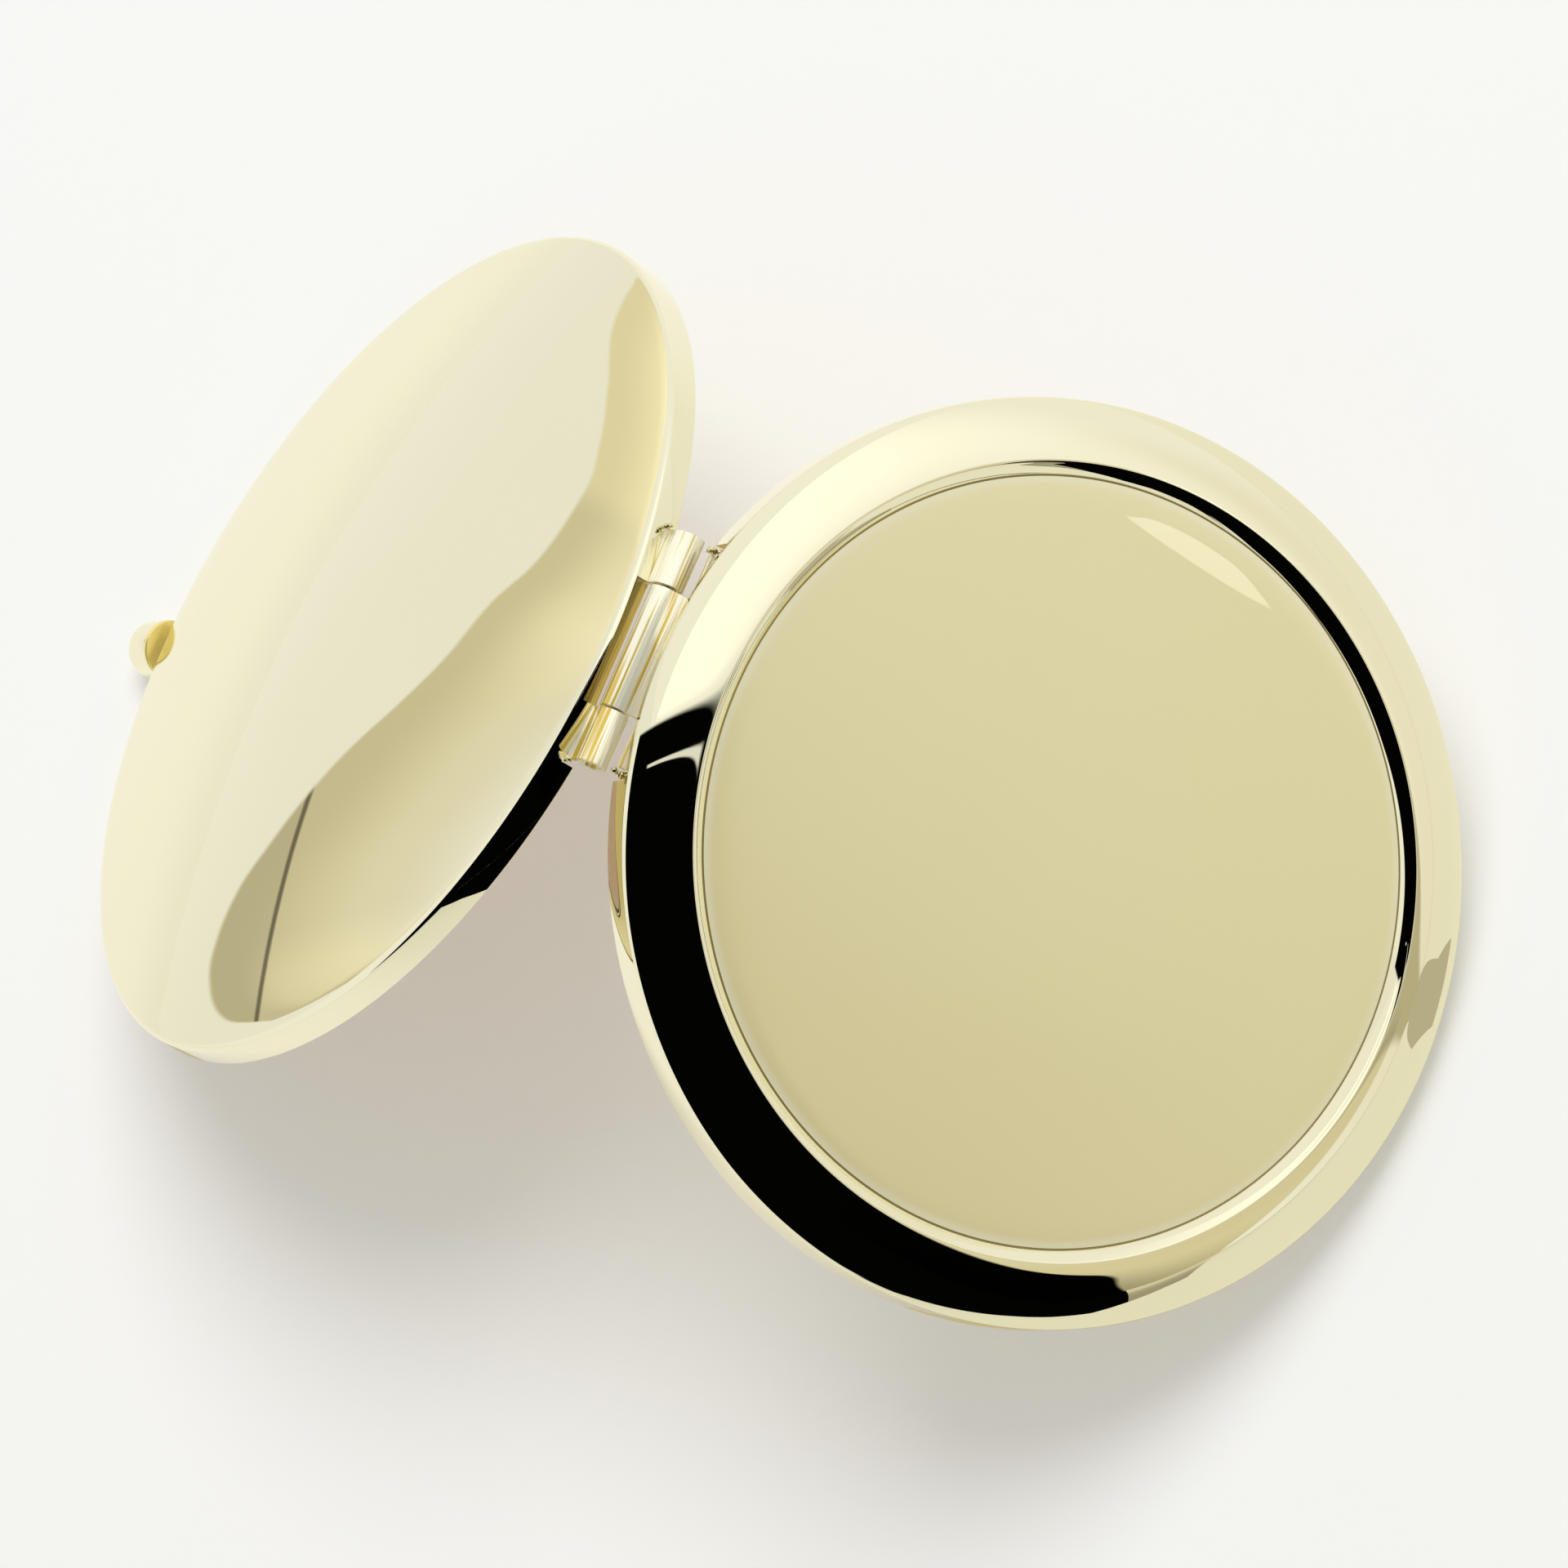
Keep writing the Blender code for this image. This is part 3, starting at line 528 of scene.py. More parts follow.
def lip_arc():
    return arc((DISC_RADIUS - LIP, SEAM_GAP + LIP), LIP, -60, 0, LIP_STEPS)


def dome(radius, rise_from):
    return rise_from + BASE_DOME * (1.0 - (radius / DISC_RADIUS) ** BASE_DOME_POWER)


def base_outer():
    """Outer section of the base: lip, straight wall, rounded corner and dome, rim to middle."""
    edge_slope = math.degrees(math.atan(BASE_DOME * BASE_DOME_POWER / DISC_RADIUS))
    c = BASE_CORNER
    corner = arc((DISC_RADIUS - c, BASE_WALL - c), c, 0, 90 - edge_slope, 14)
    end_r, end_h = corner[-1]
    points = lip_arc() + corner
    lift = end_h - dome(end_r, 0.0)
    for i in range(1, DOME_STEPS):
        r = end_r * (1.0 - i / DOME_STEPS)
        points.append((r, dome(r, lift)))
    points.append((0.0, dome(0.0, lift)))
    return points


def build_base_shell():
    outer = base_outer()
    inner = offset(outer[LIP_STEPS + 2:], SHEET)
    inner[-1] = (0.0, outer[-1][1] - SHEET)
    outline = outer + list(reversed(inner)) + [(DISC_RADIUS - SHEET, SEAM_GAP + SEAM_STEP)]
    polished = len(outer) - 1
    bands = [GOLD] * polished + [INNER_GOLD] * (len(outline) - polished)
    shades = [GOLD, INNER_GOLD, NOTCH_SHADE_GOLD]
    bm = bmesh.new()
    lathe(bm, outline, SHELL_SIDES, disc_axis(), [shades.index(band) for band in bands])
    shell = add_piece("base_case", bm, "base", "base", shades)
    reach = NEAR_RIM + BASE_NOTCH_DEPTH
    notch = shades.index(NOTCH_SHADE_GOLD)
    cut(shell,
        cutter_box("notch_middle", (-1, -OUTER_START, -1), (reach, OUTER_START, BASE_NOTCH_TOP), "base",
                   slot=notch),
        cutter_box("notch_leaf", (-1, -NOTCH_HALF, -1), (reach, NOTCH_HALF, KNUCKLE_RADIUS + 0.02),
                   "base", slot=notch),
        cutter_box("notch_shank", (FAR_RIM - 2, -SHANK_SLOT_HALF, SHANK_SLOT_LOW),
                   (FAR_RIM + 1, SHANK_SLOT_HALF, SHANK_SLOT_HIGH), "base", SHANK_SLOT_ROUND))
    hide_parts("base_shell")


# ---------------------------------------------------------------- lid half

def lid_shoulder(start):
    """From the top of the wall's corner up the broad ring to its crest."""
    tilt = math.radians(SHOULDER_TILT)
    bend = (start[0] - CREST_RADIUS) / math.sin(tilt)
    drop = bend * (1.0 - math.cos(tilt))
    points = []
    for i in range(1, SHOULDER_STEPS + 1):
        angle = tilt * (1.0 - i / SHOULDER_STEPS)
        fall = bend * (1.0 - math.cos(angle))
        points.append((CREST_RADIUS + bend * math.sin(angle),
                       CREST_HEIGHT - fall * (CREST_HEIGHT - start[1]) / drop))
    return points


def lid_bevel():
    """From the crest round to the inner bevel and down it, slightly swelled, to the floor."""
    points = []
    for i in range(1, BEND_STEPS + 1):
        angle = INNER_TILT * i / BEND_STEPS
        points.append((CREST_RADIUS - CREST_BEND * math.sin(angle),
                       CREST_HEIGHT - CREST_BEND * (1.0 - math.cos(angle))))
    top_r, top_h = points[-1]
    foot_h = RECESS_FLOOR + FOOT_RISE
    for i in range(1, BEVEL_STEPS + 1):
        share = i / BEVEL_STEPS
        swell = BEVEL_SWELL * 4.0 * share * (1.0 - share)
        points.append((top_r + (FOOT_RADIUS - top_r) * share - swell * math.sin(INNER_TILT),
                       top_h + (foot_h - top_h) * share + swell * math.cos(INNER_TILT)))
    return points


def lid_outer():
    """Outer section of the lid down to the recess: lip, wall, corner, broad ring and inner bevel."""
    c = LID_CORNER
    points = lip_arc() + arc((DISC_RADIUS - c, LID_SHOULDER), c, 0, 90 - SHOULDER_TILT, 10)
    return points + lid_shoulder(points[-1]) + lid_bevel()


def build_lid_shell():
    ring = lid_outer()
    groove = [(GROOVE_RADIUS + out, RECESS_FLOOR - depth) for out, depth in GROOVE]
    floor = [(radius, RECESS_FLOOR + rise) for radius, rise in FLOOR_CROWN]
    under = RECESS_FLOOR - SHEET
    outline = ring + groove + floor + [(0.0, under), (GROOVE_RADIUS - 0.6, under)]
    inner = offset(ring[LIP_STEPS + 3:], SHEET)
    outline += [point for point in reversed(inner) if point[0] > GROOVE_RADIUS - 0.3]
    outline += [(DISC_RADIUS - SHEET, SEAM_GAP + SEAM_STEP)]
    centre = HALVES["lid"] @ (Vector((HINGE_TO_CENTRE, 0.0, RECESS_FLOOR)) * MM)
    panel = satin_gold("satin_panel", PANEL_COLOUR, PANEL_SHADED, PANEL_ROUGHNESS, centre)
    bands = [GOLD] * (len(ring) - 1) + [GROOVE_GOLD] * len(groove) + [panel] * len(floor)
    bands += [INNER_GOLD] * (len(outline) - len(bands))
    shades = [GOLD, panel, INNER_GOLD, NOTCH_SHADE_GOLD, GROOVE_GOLD]
    bm = bmesh.new()
    lathe(bm, outline, SHELL_SIDES, disc_axis(), [shades.index(band) for band in bands])
    shell = add_piece("lid_case", bm, "lid", "lid", shades)
    cut(shell, cutter_box("notch_lid", (-1, -NOTCH_HALF, -1),
                          (NEAR_RIM + LID_NOTCH_DEPTH, NOTCH_HALF, LID_NOTCH_TOP), "lid",
                          slot=shades.index(NOTCH_SHADE_GOLD)))
    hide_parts("lid_shell")


# ---------------------------------------------------------------- hinge

def leaf_outline():
    """Flat leaf whose end is rolled round the pin, with softened free edges."""
    bore = KNUCKLE_RADIUS - LEAF_SHEET
    soft = LEAF_LENGTH - LEAF_EDGE
    outline = [(LEAF_LENGTH, KNUCKLE_RADIUS - LEAF_EDGE), (soft, KNUCKLE_RADIUS)]
    outline += arc((0.0, 0.0), KNUCKLE_RADIUS, 90, ROLL_END, 56)
    outline += arc((0.0, 0.0), bore, ROLL_END, 90, 44)
    outline += [(soft, bore), (LEAF_LENGTH, bore + LEAF_EDGE)]
    return outline


def leaf_gaps(half, length):
    """Boxes that leave the base leaf its two outer knuckles, or the lid leaf its middle one."""
    past = KNUCKLE_RADIUS + 0.8
    if half == "base":
        return [cutter_box("gap", (-past, -OUTER_START, -past), (LEAF_STEP, OUTER_START, past), half)]
    return [cutter_box("gap_a", (-past, MIDDLE_HALF, -past), (LEAF_STEP, length + 1, past), half),
            cutter_box("gap_b", (-past, -length - 1, -past), (LEAF_STEP, -MIDDLE_HALF, past), half)]


def build_hinge():
    for half, length in (("base", HINGE_HALF), ("lid", LID_LEAF_HALF)):
        bm = bmesh.new()
        extrude_outline(bm, leaf_outline(), [-length, length])
        leaf = add_piece(f"{half}_leaf", bm, half, half, [HINGE_GOLD, NOTCH_SHADE_GOLD])
        cut(leaf, *leaf_gaps(half, length))
        soften(leaf, 0.05)
        if half == "base":
            shade_middle(leaf.data)
        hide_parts(f"{half}_hinge_leaf")


def shade_middle(mesh):
    """Give the part of the leaf seen through the middle notch the darker gold that paints the gap's shade."""
    middle = OUTER_START * MM
    bm = bmesh.new()
    bm.from_mesh(mesh)
    for side in (-middle, middle):
        bmesh.ops.bisect_plane(bm, geom=bm.verts[:] + bm.edges[:] + bm.faces[:],
                               plane_co=(0.0, side, 0.0), plane_no=(0.0, 1.0, 0.0))
    for face in bm.faces:
        face.material_index = int(abs(face.calc_center_median().y) < middle - 0.01 * MM)
    bm.to_mesh(mesh)
    bm.free()


def build_solder():
    """Ragged beads of solder where the ends of the leaves meet the two shells."""
    spread = random.Random(7)
    for half, x, z, ends in SOLDER_ROWS:
        bm = bmesh.new()
        for y in ends:
            for count in range(SOLDER_DROPS):
                along = x + SOLDER_STEP * count + spread.uniform(-0.08, 0.08)
                side = y + spread.uniform(-0.12, 0.12)
                height = z - 0.12 * spread.random()
                bead(bm, Vector((along, side, height)), spread.uniform(0.14, 0.26))
        beads = add_piece(f"{half}_solder", bm, half, half, [SOLDER], 60.0)


def bead(bm, centre, size):
    """One uneven drop."""
    made = bmesh.ops.create_icosphere(bm, subdivisions=3, radius=1.0)
    for vert in made["verts"]:
        lump = 1.0 + 0.35 * noise.noise(vert.co * 1.7 + centre * 9.0)
        vert.co = centre + vert.co * size * lump * 1.15


# ---------------------------------------------------------------- button

def button_outline():
    """Section of the head from the middle of its back to the middle of its crown."""
    edge = BUTTON_RADIUS - BUTTON_EDGE
    shoulder = BUTTON_STANDOFF + BUTTON_SIDE
    top = shoulder + BUTTON_FILLET
    outline = [(0.0, BUTTON_STANDOFF), (edge, BUTTON_STANDOFF)]
    outline += arc((edge, BUTTON_STANDOFF + BUTTON_EDGE), BUTTON_EDGE, -90, 0, 6)
    outline += arc((BUTTON_RADIUS - BUTTON_FILLET, shoulder), BUTTON_FILLET, 0, 84, 20)
    outline += [(radius, top + rise) for radius, rise in BUTTON_CROWN]
    return outline


def build_button():
    outline = button_outline()
    turn = Matrix.Rotation(math.radians(90), 4, "Y")
    bm = bmesh.new()
    front = len(outline) - BUTTON_BACK_BANDS
    lathe(bm, outline, BUTTON_SIDES, Matrix.Translation((FAR_RIM, 0.0, BUTTON_HEIGHT)) @ turn,
          [1] * BUTTON_BACK_BANDS + [0] * front)
    head = add_piece("button_head", bm, "button", "button", [GOLD, BACK_GOLD])
    bm = bmesh.new()
    box(bm, (SHANK_START, -SHANK_HALF, SHANK_LOW), (FAR_RIM + BUTTON_STANDOFF + 0.5, SHANK_HALF, SHANK_HIGH))
    shank = add_piece("button_shank", bm, "button", "button", [INNER_GOLD])
    soften(shank, 0.06)
    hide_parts("push_button")


# ---------------------------------------------------------------- insides

def paint(node, material):
    obj = frame["nodes"][node]
    obj.data.materials.clear()
    obj.data.materials.append(material)


def paint_insides():
    for node in ("latch_slider", "button_rivet", "latch_guide", "guide_rivet_1", "guide_rivet_2",
                 "latch_spring", "lid_catch", "hinge_pin"):
        paint(node, STEEL)
    paint("base_tray", SATIN)
    paint("mirror_ring", SATIN)
    paint("powder_pan", TIN)
    paint("pressed_powder", POWDER)
    paint("mirror_glass", GLASS)
    paint("pan_adhesive", PAD)
    paint("mirror_pad", PAD)


# ---------------------------------------------------------------- stage

CAMERA_PLACE = (0.327988, -0.201135, 0.816620)
CAMERA_TURN = (20.8152, 15.0560, 23.5164)     # about X, then Y, then Z, in degrees
CAMERA_LENS = 266.03
FLOOR_HALF = 3000.0
FLOOR_DROP = 0.02                             # keeps the floor just clear of the rims
SHEEN_START = -110.0                          # the metal sees the floor only beyond this X
SHEEN_FAR = 450.0                             # and up to this Y
CARD_HEIGHT = 0.3
AMBIENT = 0.40
AMBIENT_TINT = (1.0, 1.0, 0.985)
BACKDROP = 0.90
LIFT = 0.72
LIFT_ANGLE = 40.0
SOFTBOX_POWER = 7.6
SOFTBOX_TINT = (1.0, 0.995, 0.98)
SOFTBOX_AZIMUTH = -162.0
SOFTBOX_HEIGHT = 67.0
SOFTBOX_DISTANCE = 1.3
SOFTBOX_SIZE = 0.9


def link(name, data):
    obj = bpy.data.objects.new(name, data)
    bpy.context.scene.collection.objects.link(obj)
    return obj


def build_camera():
    data = bpy.data.cameras.new("camera")
    data.lens = CAMERA_LENS
    data.sensor_width = 36.0
    data.clip_start = 0.05
    data.clip_end = 20.0
    camera = link("camera", data)
    turn = Euler([math.radians(angle) for angle in CAMERA_TURN]).to_matrix().to_4x4()
    camera.matrix_world = Matrix.Translation(CAMERA_PLACE) @ turn
    bpy.context.scene.camera = camera


def stage_sheet(name, outline, height, material, reflections_only=True):
    """A level sheet with its outline given as (x, y), in millimetres."""
    mesh = bpy.data.meshes.new(name)
    corners = [Vector((x, y, height)) * MM for x, y in outline]
    mesh.from_pydata(corners, [], [tuple(range(len(corners)))])
    mesh.materials.append(material)
    sheet = link(name, mesh)
    if reflections_only:
        sheet.visible_camera = False
        sheet.visible_diffuse = False
        sheet.visible_shadow = False
    return sheet


def glow(name, level, colour, fade=None):
    """Even glow; fade is (from x, to x, level at the start), in metres."""
    material, nodes, shader = shader_material(name, "Emission")
    nodes.put(shader.inputs[0], colour)
    nodes.put(shader.inputs[1], level)
    if fade:
        start, end, first_level = fade
        nodes.put(shader.inputs[1], nodes.step(nodes.split(nodes.place())[0], start, end, first_level, level))
    return material


def paper(name, first, second, runs=()):
    """Matt paper in clouds of two tones; runs are (from x, to x, further tone), in metres."""
    material, nodes, shader = shader_material(name, "BsdfDiffuse")
    where = nodes.place()
    tone = nodes.mix(nodes.noise(where, 6.0, 2.0), first, second)
    x = nodes.split(where)[0]
    for start, end, further in runs:
        tone = nodes.mix(nodes.step(x, start, end), tone, further)
    nodes.put(shader.inputs[0], tone)
    return material


def build_floor():
    """White paper for the camera, and a sheet over part of it that only the metal sees."""
    white = paper("floor_paper", (0.905, 0.91, 0.90), (0.925, 0.925, 0.915))
    size = FLOOR_HALF
    floor = stage_sheet("floor", [(-size, -size), (size, -size), (size, size), (-size, size)], -FLOOR_DROP,
                        white, reflections_only=False)
    floor.visible_glossy = False
    # Painted light and shade on the sheet the metal sees: lighter past -78 mm in X, over the base half's shadow,
    # and darker and warmer past 70 mm, a painted shadow
    sheen = paper("floor_sheen", (0.89, 0.888, 0.874), (0.895, 0.893, 0.88),
                  [(-0.110, -0.078, (0.96, 0.955, 0.93)), (-0.03, 0.07, (0.875, 0.865, 0.80))])
    stage_sheet("floor_seen", [(SHEEN_START, -size), (size, -size), (size, SHEEN_FAR),
                               (SHEEN_START, SHEEN_FAR)], 0.0, sheen)


def build_cards():
    """Low cards that only reflections see: the dark opening and its warm edge, a strip, a painted gold glow."""
    dark = glow("room_dark", 0.001, (1.0, 1.0, 1.0))
    olive = glow("room_olive", 0.72, (1.0, 0.93, 0.74), (0.10, 0.45, 0.36))
    strip = glow("room_strip", 0.52, (1.0, 0.93, 0.74))
    # Painted reflection: a sheet under the compact glows gold, standing in for light bounced off the gold halves
    gold_bounce = glow("painted_gold_bounce", 0.55, (1.0, 0.86, 0.46))
    stage_sheet("card_dark", [(105, -51), (94, -57), (104, -74), (122, -99), (150, -150), (250, -330),
                              (1350, -2950), (2950, -2950), (2950, -754)], CARD_HEIGHT, dark)
    stage_sheet("card_olive", [(105, -51), (2950, -754), (2950, -210), (121, -39), (118, -44)],
                CARD_HEIGHT, olive)
    stage_sheet("card_strip", [(59, 4), (66, 3), (200, 40), (2950, 731), (2950, 875), (194, 50), (66, 12),
                               (59, 12)], CARD_HEIGHT, strip)
    stage_sheet("card_under", [(-45, -34), (48, -34), (48, 34), (-45, 34)], CARD_HEIGHT, gold_bounce)


# ---------------------------------------------------------------- room

# The room is what the polished metal sees, in degrees round the compact: azimuth 0 looks along -Y
# and 90 along +X. Each foot is the curve on which a dark or grey part of the room stands.
DARK_FOOT = [(-20, 10), (20, 3), (44, -7.4), (51, -10), (55, -12.6), (61, -14.5), (68, -12), (74, -3),
             (79.6, 4.9), (89, 14.4), (95, 21.5), (105, 25), (110, 27)]
SHEET_FOOT = [(68, -12), (75, -9.4), (78, -8.5), (87.9, 1.5), (92.7, 4.6), (96.2, 6.5), (104, 11),
              (110, 14)]
LEFT_FOOT = [(-126, 8), (-120, -3), (-115.5, -8), (-113.9, -7.3), (-111.3, -3), (-109.8, -0.8),
             (-107.9, 0.7), (-105.6, 0.1), (-103.9, -2.2), (-102.3, -3.7), (-101.1, -5.7), (-100, -7.9),
             (-98.8, -9.4), (-97.3, -10.8), (-95.8, -12.1), (-94, -12.5), (-92.8, -12), (-91.1, -9.5),
             (-90.3, -5), (-89, 4), (-86, 14)]
CURVE_BOTTOM = -20.0                          # a foot curve can run from here
CURVE_SPAN = 60.0                             # over this much height

# Planes through the middle of the compact, by their normals: two cut the dark opening off, the next
# carries its glint, and the last faces the brighter wall
LAMP_SIDE = (0.2306, -0.9712, 0.0614)
DOOR_SIDE = (0.9944, 0.0990, 0.0384)
GLINT_PLANE = (0.2698, -0.9622, -0.0381)
WHITE_SIDE = (-0.35, 0.93, 0.0)

# A small bright pane that shows as a lens in the lacquer
PANE_AZIMUTH = 106.395
PANE_HEIGHT = 22.906
PANE_HALF_LENGTH = 0.411
PANE_HALF_WIDTH = 0.15
PANE_EDGE = 0.012
PANE_LEAN = 0.3236
PANE_BOW = 0.037

# A dark thread that slants across the window side; the part below it is a little dimmer
THREAD_SLOPE = 0.38
THREAD_HEIGHT = 28.2

WHITE = (1.0, 1.0, 1.0)
BEIGE = (1.0, 0.918, 0.67)
CREAM_LEVEL = 0.945
BRIGHT_GAIN = 0.24
WHITE_GAIN = 0.03
GLINT_LEVEL = 0.8
PANE_LEVEL = 4.8
SIDE_DIM = 0.065
SIDE_WARMTH = 0.35
HAZE_DIM = 0.06
STRIP_DIM = 0.42
DARK_DIM = 0.999
UNDER_THREAD_DIM = 0.14
THREAD_DIM = 0.72


class Room(Nodes):
    """Shader nodes for what lies in each direction round the compact."""

    def __init__(self, tree):
        super().__init__(tree)
        self.direction = self.split(self.new("TexCoord").outputs["Generated"])
        x, y, z = self.direction
        self.azimuth = self.degrees(self.math("ARCTAN2", x, self.math("MULTIPLY", y, -1.0)))
        self.height = self.degrees(self.math("ARCSINE", z))

    def degrees(self, angle):
        return self.math("MULTIPLY", angle, 180.0 / math.pi)

    def plane(self, normal):
        """How far the direction leans to the front of a plane through the middle."""
        x, y, z = self.direction
        total = self.math("MULTIPLY", x, normal[0])
        total = self.math("MULTIPLY_ADD", y, normal[1], total)
        return self.math("MULTIPLY_ADD", z, normal[2], total)

    def above(self, points):
        """Height over a smooth curve through points of (azimuth, height), in degrees."""
        first, last = points[0][0], points[-1][0]
        curve = self.new("FloatCurve")
        line = curve.mapping.curves[0]
        places = [((at - first) / (last - first), (level - CURVE_BOTTOM) / CURVE_SPAN)
                  for at, level in points]
        line.points[0].location = places[0]
        line.points[1].location = places[-1]
        for place in places[1:-1]:
            line.points.new(*place)
        for point in line.points:
            point.handle_type = "AUTO_CLAMPED"
        curve.mapping.update()
        share = self.step(self.azimuth, first, last, smooth="LINEAR")
        self.put(curve.inputs["Value"], share)
        foot = self.math("MULTIPLY_ADD", curve.outputs[0], CURVE_SPAN, CURVE_BOTTOM)
        return self.math("SUBTRACT", self.height, foot)

    def until(self, value, low, high):
        """1 up to low, falling to 0 at high."""
        return self.step(value, low, high, 1.0, 0.0)

    def within(self, value, low, high, soft):
        rise = self.step(value, low - soft, low + soft)
        return self.math("MULTIPLY", rise, self.until(value, high - soft, high + soft))

    def all_of(self, *shares):
        total = shares[0]
        for share in shares[1:]:
            total = self.math("MULTIPLY", total, share)
        return total

    def dim(self, level, share, amount):
        """Level lowered by amount, as a fraction, where share is 1."""
        return self.math("MULTIPLY", level, self.math("MULTIPLY_ADD", share, -amount, 1.0))

    def blend(self, share, first, second):
        """Number that goes from first to second as share goes from 0 to 1."""
        return self.math("MULTIPLY_ADD", share, self.math("SUBTRACT", second, first), first)


def dark_share(room):
    """The dark opening beyond the lid."""
    return room.all_of(room.step(room.above(DARK_FOOT), -0.4, 0.4),
                       room.step(room.plane(LAMP_SIDE), -0.006, 0.006),
                       room.step(room.plane(DOOR_SIDE), -0.215, -0.195))


def glint_share(room):
    """A thin upright glint inside the dark opening."""
    return room.all_of(room.within(room.plane(GLINT_PLANE), 0.0, 0.008, 0.0015),
                       room.within(room.height, 30.0, 87.0, 2.0),
                       room.step(room.azimuth, 40.0, 70.0))


def sheet_share(room):
    """The warm shaded sheet that stands low beside the dark opening."""
    return room.all_of(room.step(room.above(SHEET_FOOT), -0.5, 0.3),
                       room.within(room.azimuth, 66.0, 104.0, 0.6), room.until(room.height, 20.0, 30.0))


def strip_share(room):
    """A narrow upright strip at the sheet's far end."""
    return room.all_of(room.within(room.azimuth, 103.4, 106.6, 0.4), room.until(room.height, 20.0, 26.0))


def side_share(room):
    """The low pale wall beyond the strip, a little dimmer and warmer than the rest."""
    return room.all_of(room.step(room.azimuth, 92.0, 106.0), room.until(room.azimuth, 125.0, 155.0),
                       room.until(room.height, 14.0, 28.0))


def bright_share(room):
    """The high wall behind the compact, on the lid's side."""
    return room.all_of(room.until(room.plane(LAMP_SIDE), -0.03, 0.0), room.step(room.height, 10.0, 50.0),
                       room.step(room.azimuth, 95.0, 100.0))


def white_share(room):
    """The high wall behind the compact, on the base's side."""
    return room.all_of(room.step(room.plane(WHITE_SIDE), 0.3, 0.95), room.step(room.height, 10.0, 45.0))


def haze_share(room):
    """A faint greyness round the window side."""
    return room.all_of(room.within(room.azimuth, -125.0, -85.0, 4.0), room.step(room.height, -24.0, -9.0))


def pane_share(room):
    """The small bright pane, leaning and slightly bowed."""
    along = room.math("SUBTRACT", room.height, PANE_HEIGHT)
    share = room.math("DIVIDE", along, PANE_HALF_LENGTH)
    bow = room.math("SUBTRACT", 1.0, room.math("MULTIPLY", share, share))
    middle = room.math("MULTIPLY_ADD", along, PANE_LEAN, PANE_AZIMUTH)
    aside = room.math("MULTIPLY_ADD", bow, -PANE_BOW, room.math("SUBTRACT", room.azimuth, middle))
    outside = room.math("MULTIPLY_ADD", bow, -PANE_HALF_WIDTH, room.math("ABSOLUTE", aside))
    return room.until(outside, -PANE_EDGE, PANE_EDGE)


def window_side(room):
    """The grey window side beyond the base: its share, its level and its warmth."""
    over = room.above(LEFT_FOOT)
    share = room.all_of(room.within(room.azimuth, -122.0, -85.0, 3.0), room.step(over, -0.35, 0.25),
                        room.until(over, 14.0, 24.0))
    level = room.step(room.azimuth, -108.6, -107.2, 0.79, 0.66)
    level = room.math("ADD", level, room.step(room.azimuth, -105.0, -98.0, 0.0, -0.05))
    level = room.math("ADD", level, room.step(over, 1.5, 14.0, 0.0, 0.18))
    window = room.math("MULTIPLY", room.until(room.azimuth, -104.0, -100.0),
                       room.step(over, 1.0, 8.0, 0.0, 0.12))
    corner = room.math("MULTIPLY", room.step(room.azimuth, -94.0, -91.5),
                       room.step(over, 2.0, 6.0, 0.0, 0.10))
    level = room.math("ADD", level, room.math("ADD", window, corner))
    slant = room.math("MULTIPLY_ADD", room.azimuth, THREAD_SLOPE, THREAD_HEIGHT)
    thread = room.math("SUBTRACT", room.height, slant)
    under = room.math("MULTIPLY", room.until(thread, -0.3, 0.1),
                      room.within(room.azimuth, -99.0, -89.0, 0.5))
    level = room.dim(level, under, UNDER_THREAD_DIM)
    line = room.math("MULTIPLY", room.within(thread, -0.22, 0.18, 0.12),
                     room.within(room.azimuth, -99.2, -89.5, 0.4))
    warmth = room.math("MULTIPLY", share, room.step(over, 0.0, 26.0, 1.0, 0.35))
    return share, room.dim(level, line, THREAD_DIM), warmth


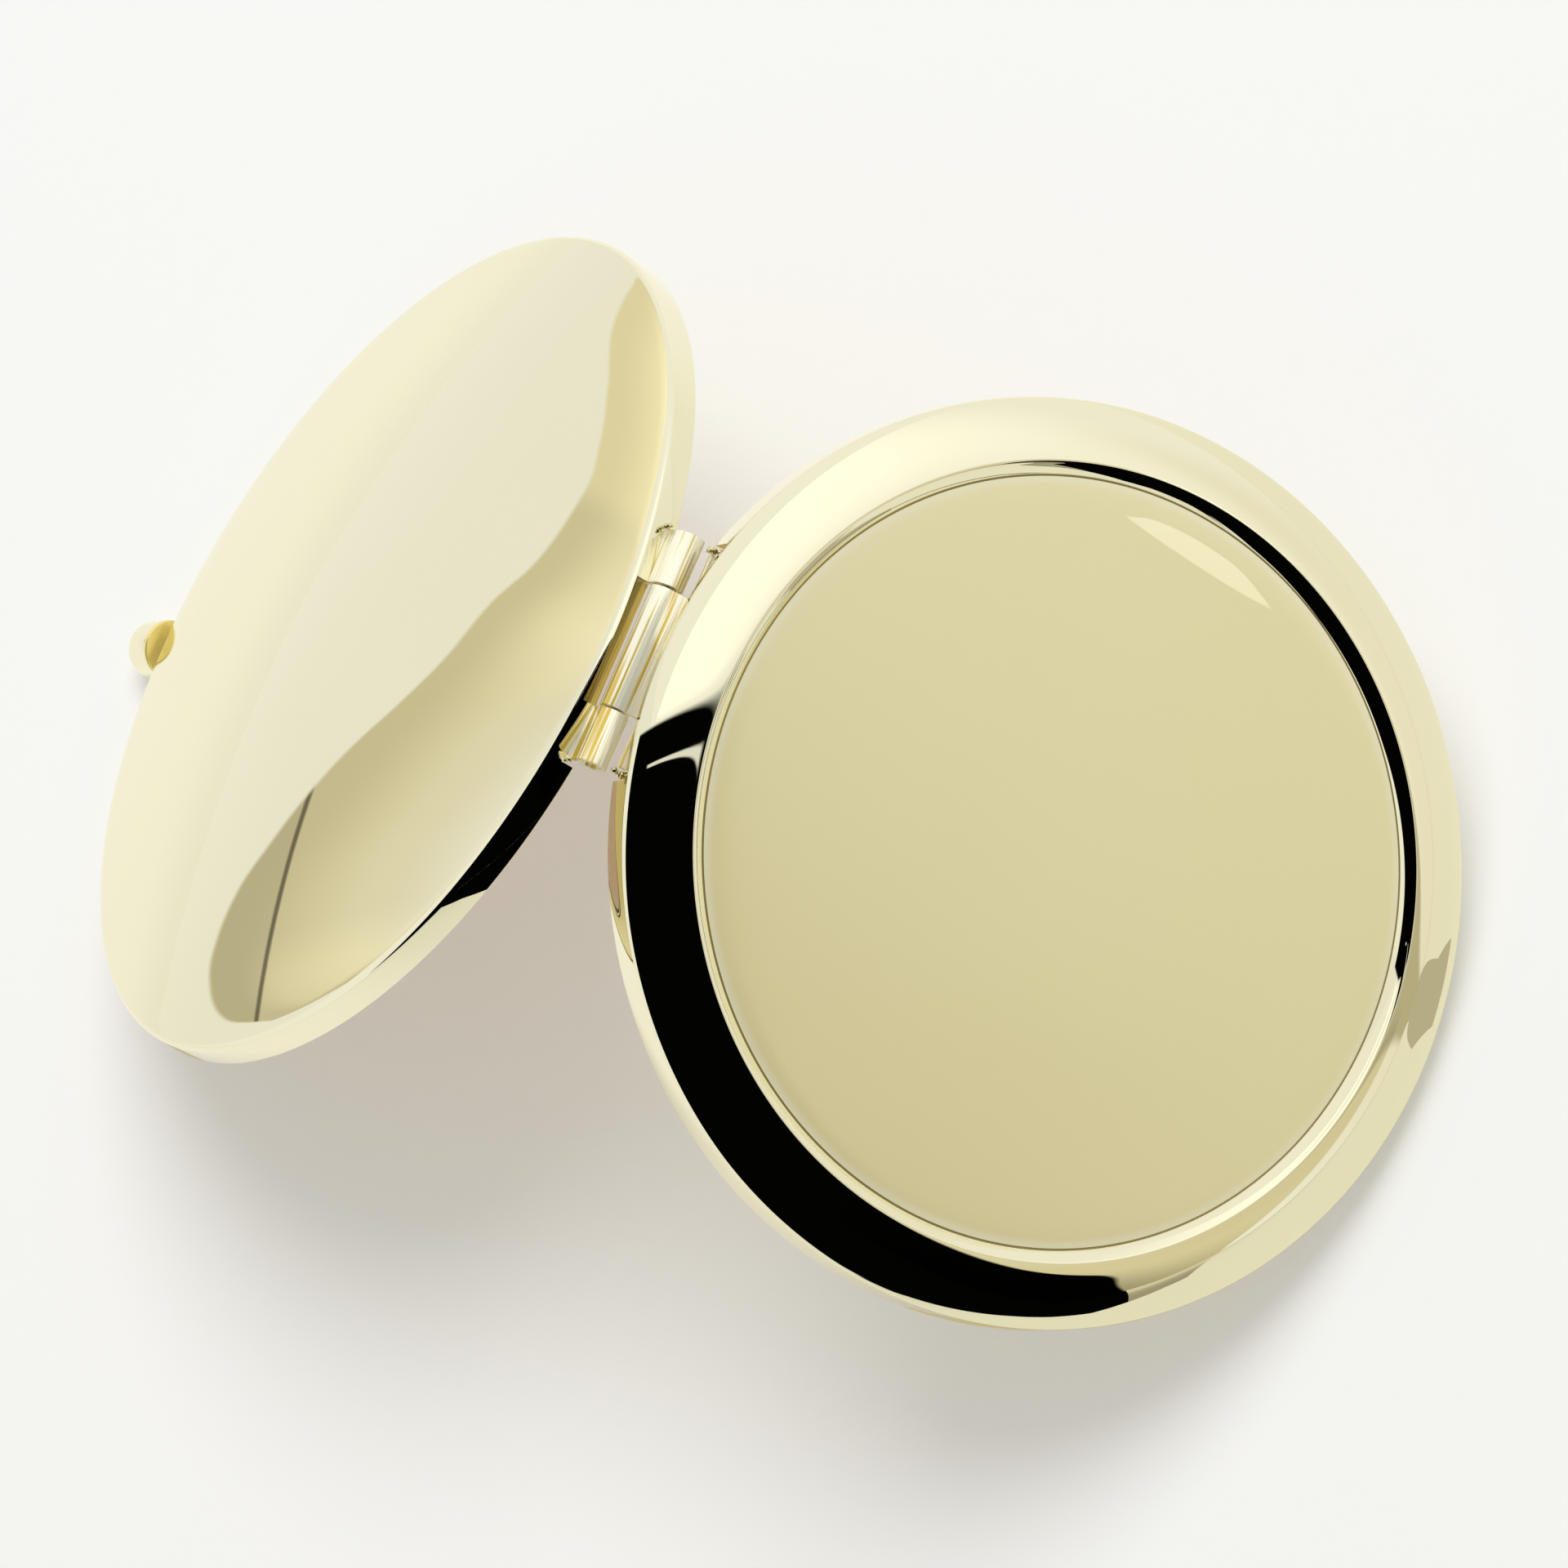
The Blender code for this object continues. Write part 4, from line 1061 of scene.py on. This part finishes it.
def build_world():
    """Even light for matte surfaces and the camera; only gloss sees the room's layout."""
    world = bpy.data.worlds.new("studio")
    bpy.context.scene.world = world
    world.use_nodes = True
    room = Room(world.node_tree)
    background = room.new("Background")
    room.put(room.new("OutputWorld").inputs[0], background.outputs[0])
    sheet, strip, side = sheet_share(room), strip_share(room), side_share(room)
    sheet_shade = room.math("MULTIPLY", sheet, room.step(room.azimuth, 74.0, 96.0, 0.60, 0.20))
    window, window_level, window_warmth = window_side(room)

    level = room.math("MULTIPLY_ADD", bright_share(room), BRIGHT_GAIN, CREAM_LEVEL)
    level = room.math("MULTIPLY_ADD", white_share(room), WHITE_GAIN, level)
    level = room.dim(level, side, SIDE_DIM)
    level = room.dim(level, haze_share(room), HAZE_DIM)
    level = room.dim(level, strip, STRIP_DIM)
    level = room.dim(level, sheet_shade, 1.0)
    level = room.blend(window, level, window_level)
    level = room.dim(level, dark_share(room), DARK_DIM)
    level = room.blend(glint_share(room), level, GLINT_LEVEL)
    level = room.blend(pane_share(room), level, PANE_LEVEL)

    warm = room.math("MAXIMUM", room.math("MAXIMUM", strip, sheet), window_warmth)
    warm = room.math("MAXIMUM", warm, room.math("MULTIPLY", side, SIDE_WARMTH))
    path = room.new("LightPath")
    seen = path.outputs["Is Glossy Ray"]
    even = room.math("MULTIPLY_ADD", path.outputs["Is Camera Ray"], BACKDROP - AMBIENT, AMBIENT)
    room.put(background.inputs[0], room.mix(seen, AMBIENT_TINT, room.mix(warm, WHITE, BEIGE)))
    room.put(background.inputs[1], room.blend(seen, even, level))


def build_light():
    """One large soft lamp high behind the compact and a faint shadowless lift from straight above."""
    data = bpy.data.lights.new("lift", "SUN")
    data.energy = LIFT
    data.angle = math.radians(LIFT_ANGLE)
    data.use_shadow = False
    link("lift", data).visible_glossy = False
    data = bpy.data.lights.new("softbox", "AREA")
    data.shape = "DISK"
    data.size = SOFTBOX_SIZE
    data.energy = SOFTBOX_POWER
    data.color = SOFTBOX_TINT
    azimuth, height = math.radians(SOFTBOX_AZIMUTH), math.radians(SOFTBOX_HEIGHT)
    direction = Vector((math.sin(azimuth) * math.cos(height), -math.cos(azimuth) * math.cos(height),
                        math.sin(height)))
    lamp = link("softbox", data)
    lamp.location = direction * SOFTBOX_DISTANCE
    lamp.rotation_mode = "QUATERNION"
    lamp.rotation_quaternion = direction.to_track_quat("Z", "Y")
    lamp.visible_glossy = False


build_base_shell()
build_lid_shell()
build_hinge()
build_solder()
build_button()
paint_insides()
build_camera()
build_floor()
build_cards()
build_world()
build_light()
bpy.context.scene.view_settings.view_transform = "Standard"
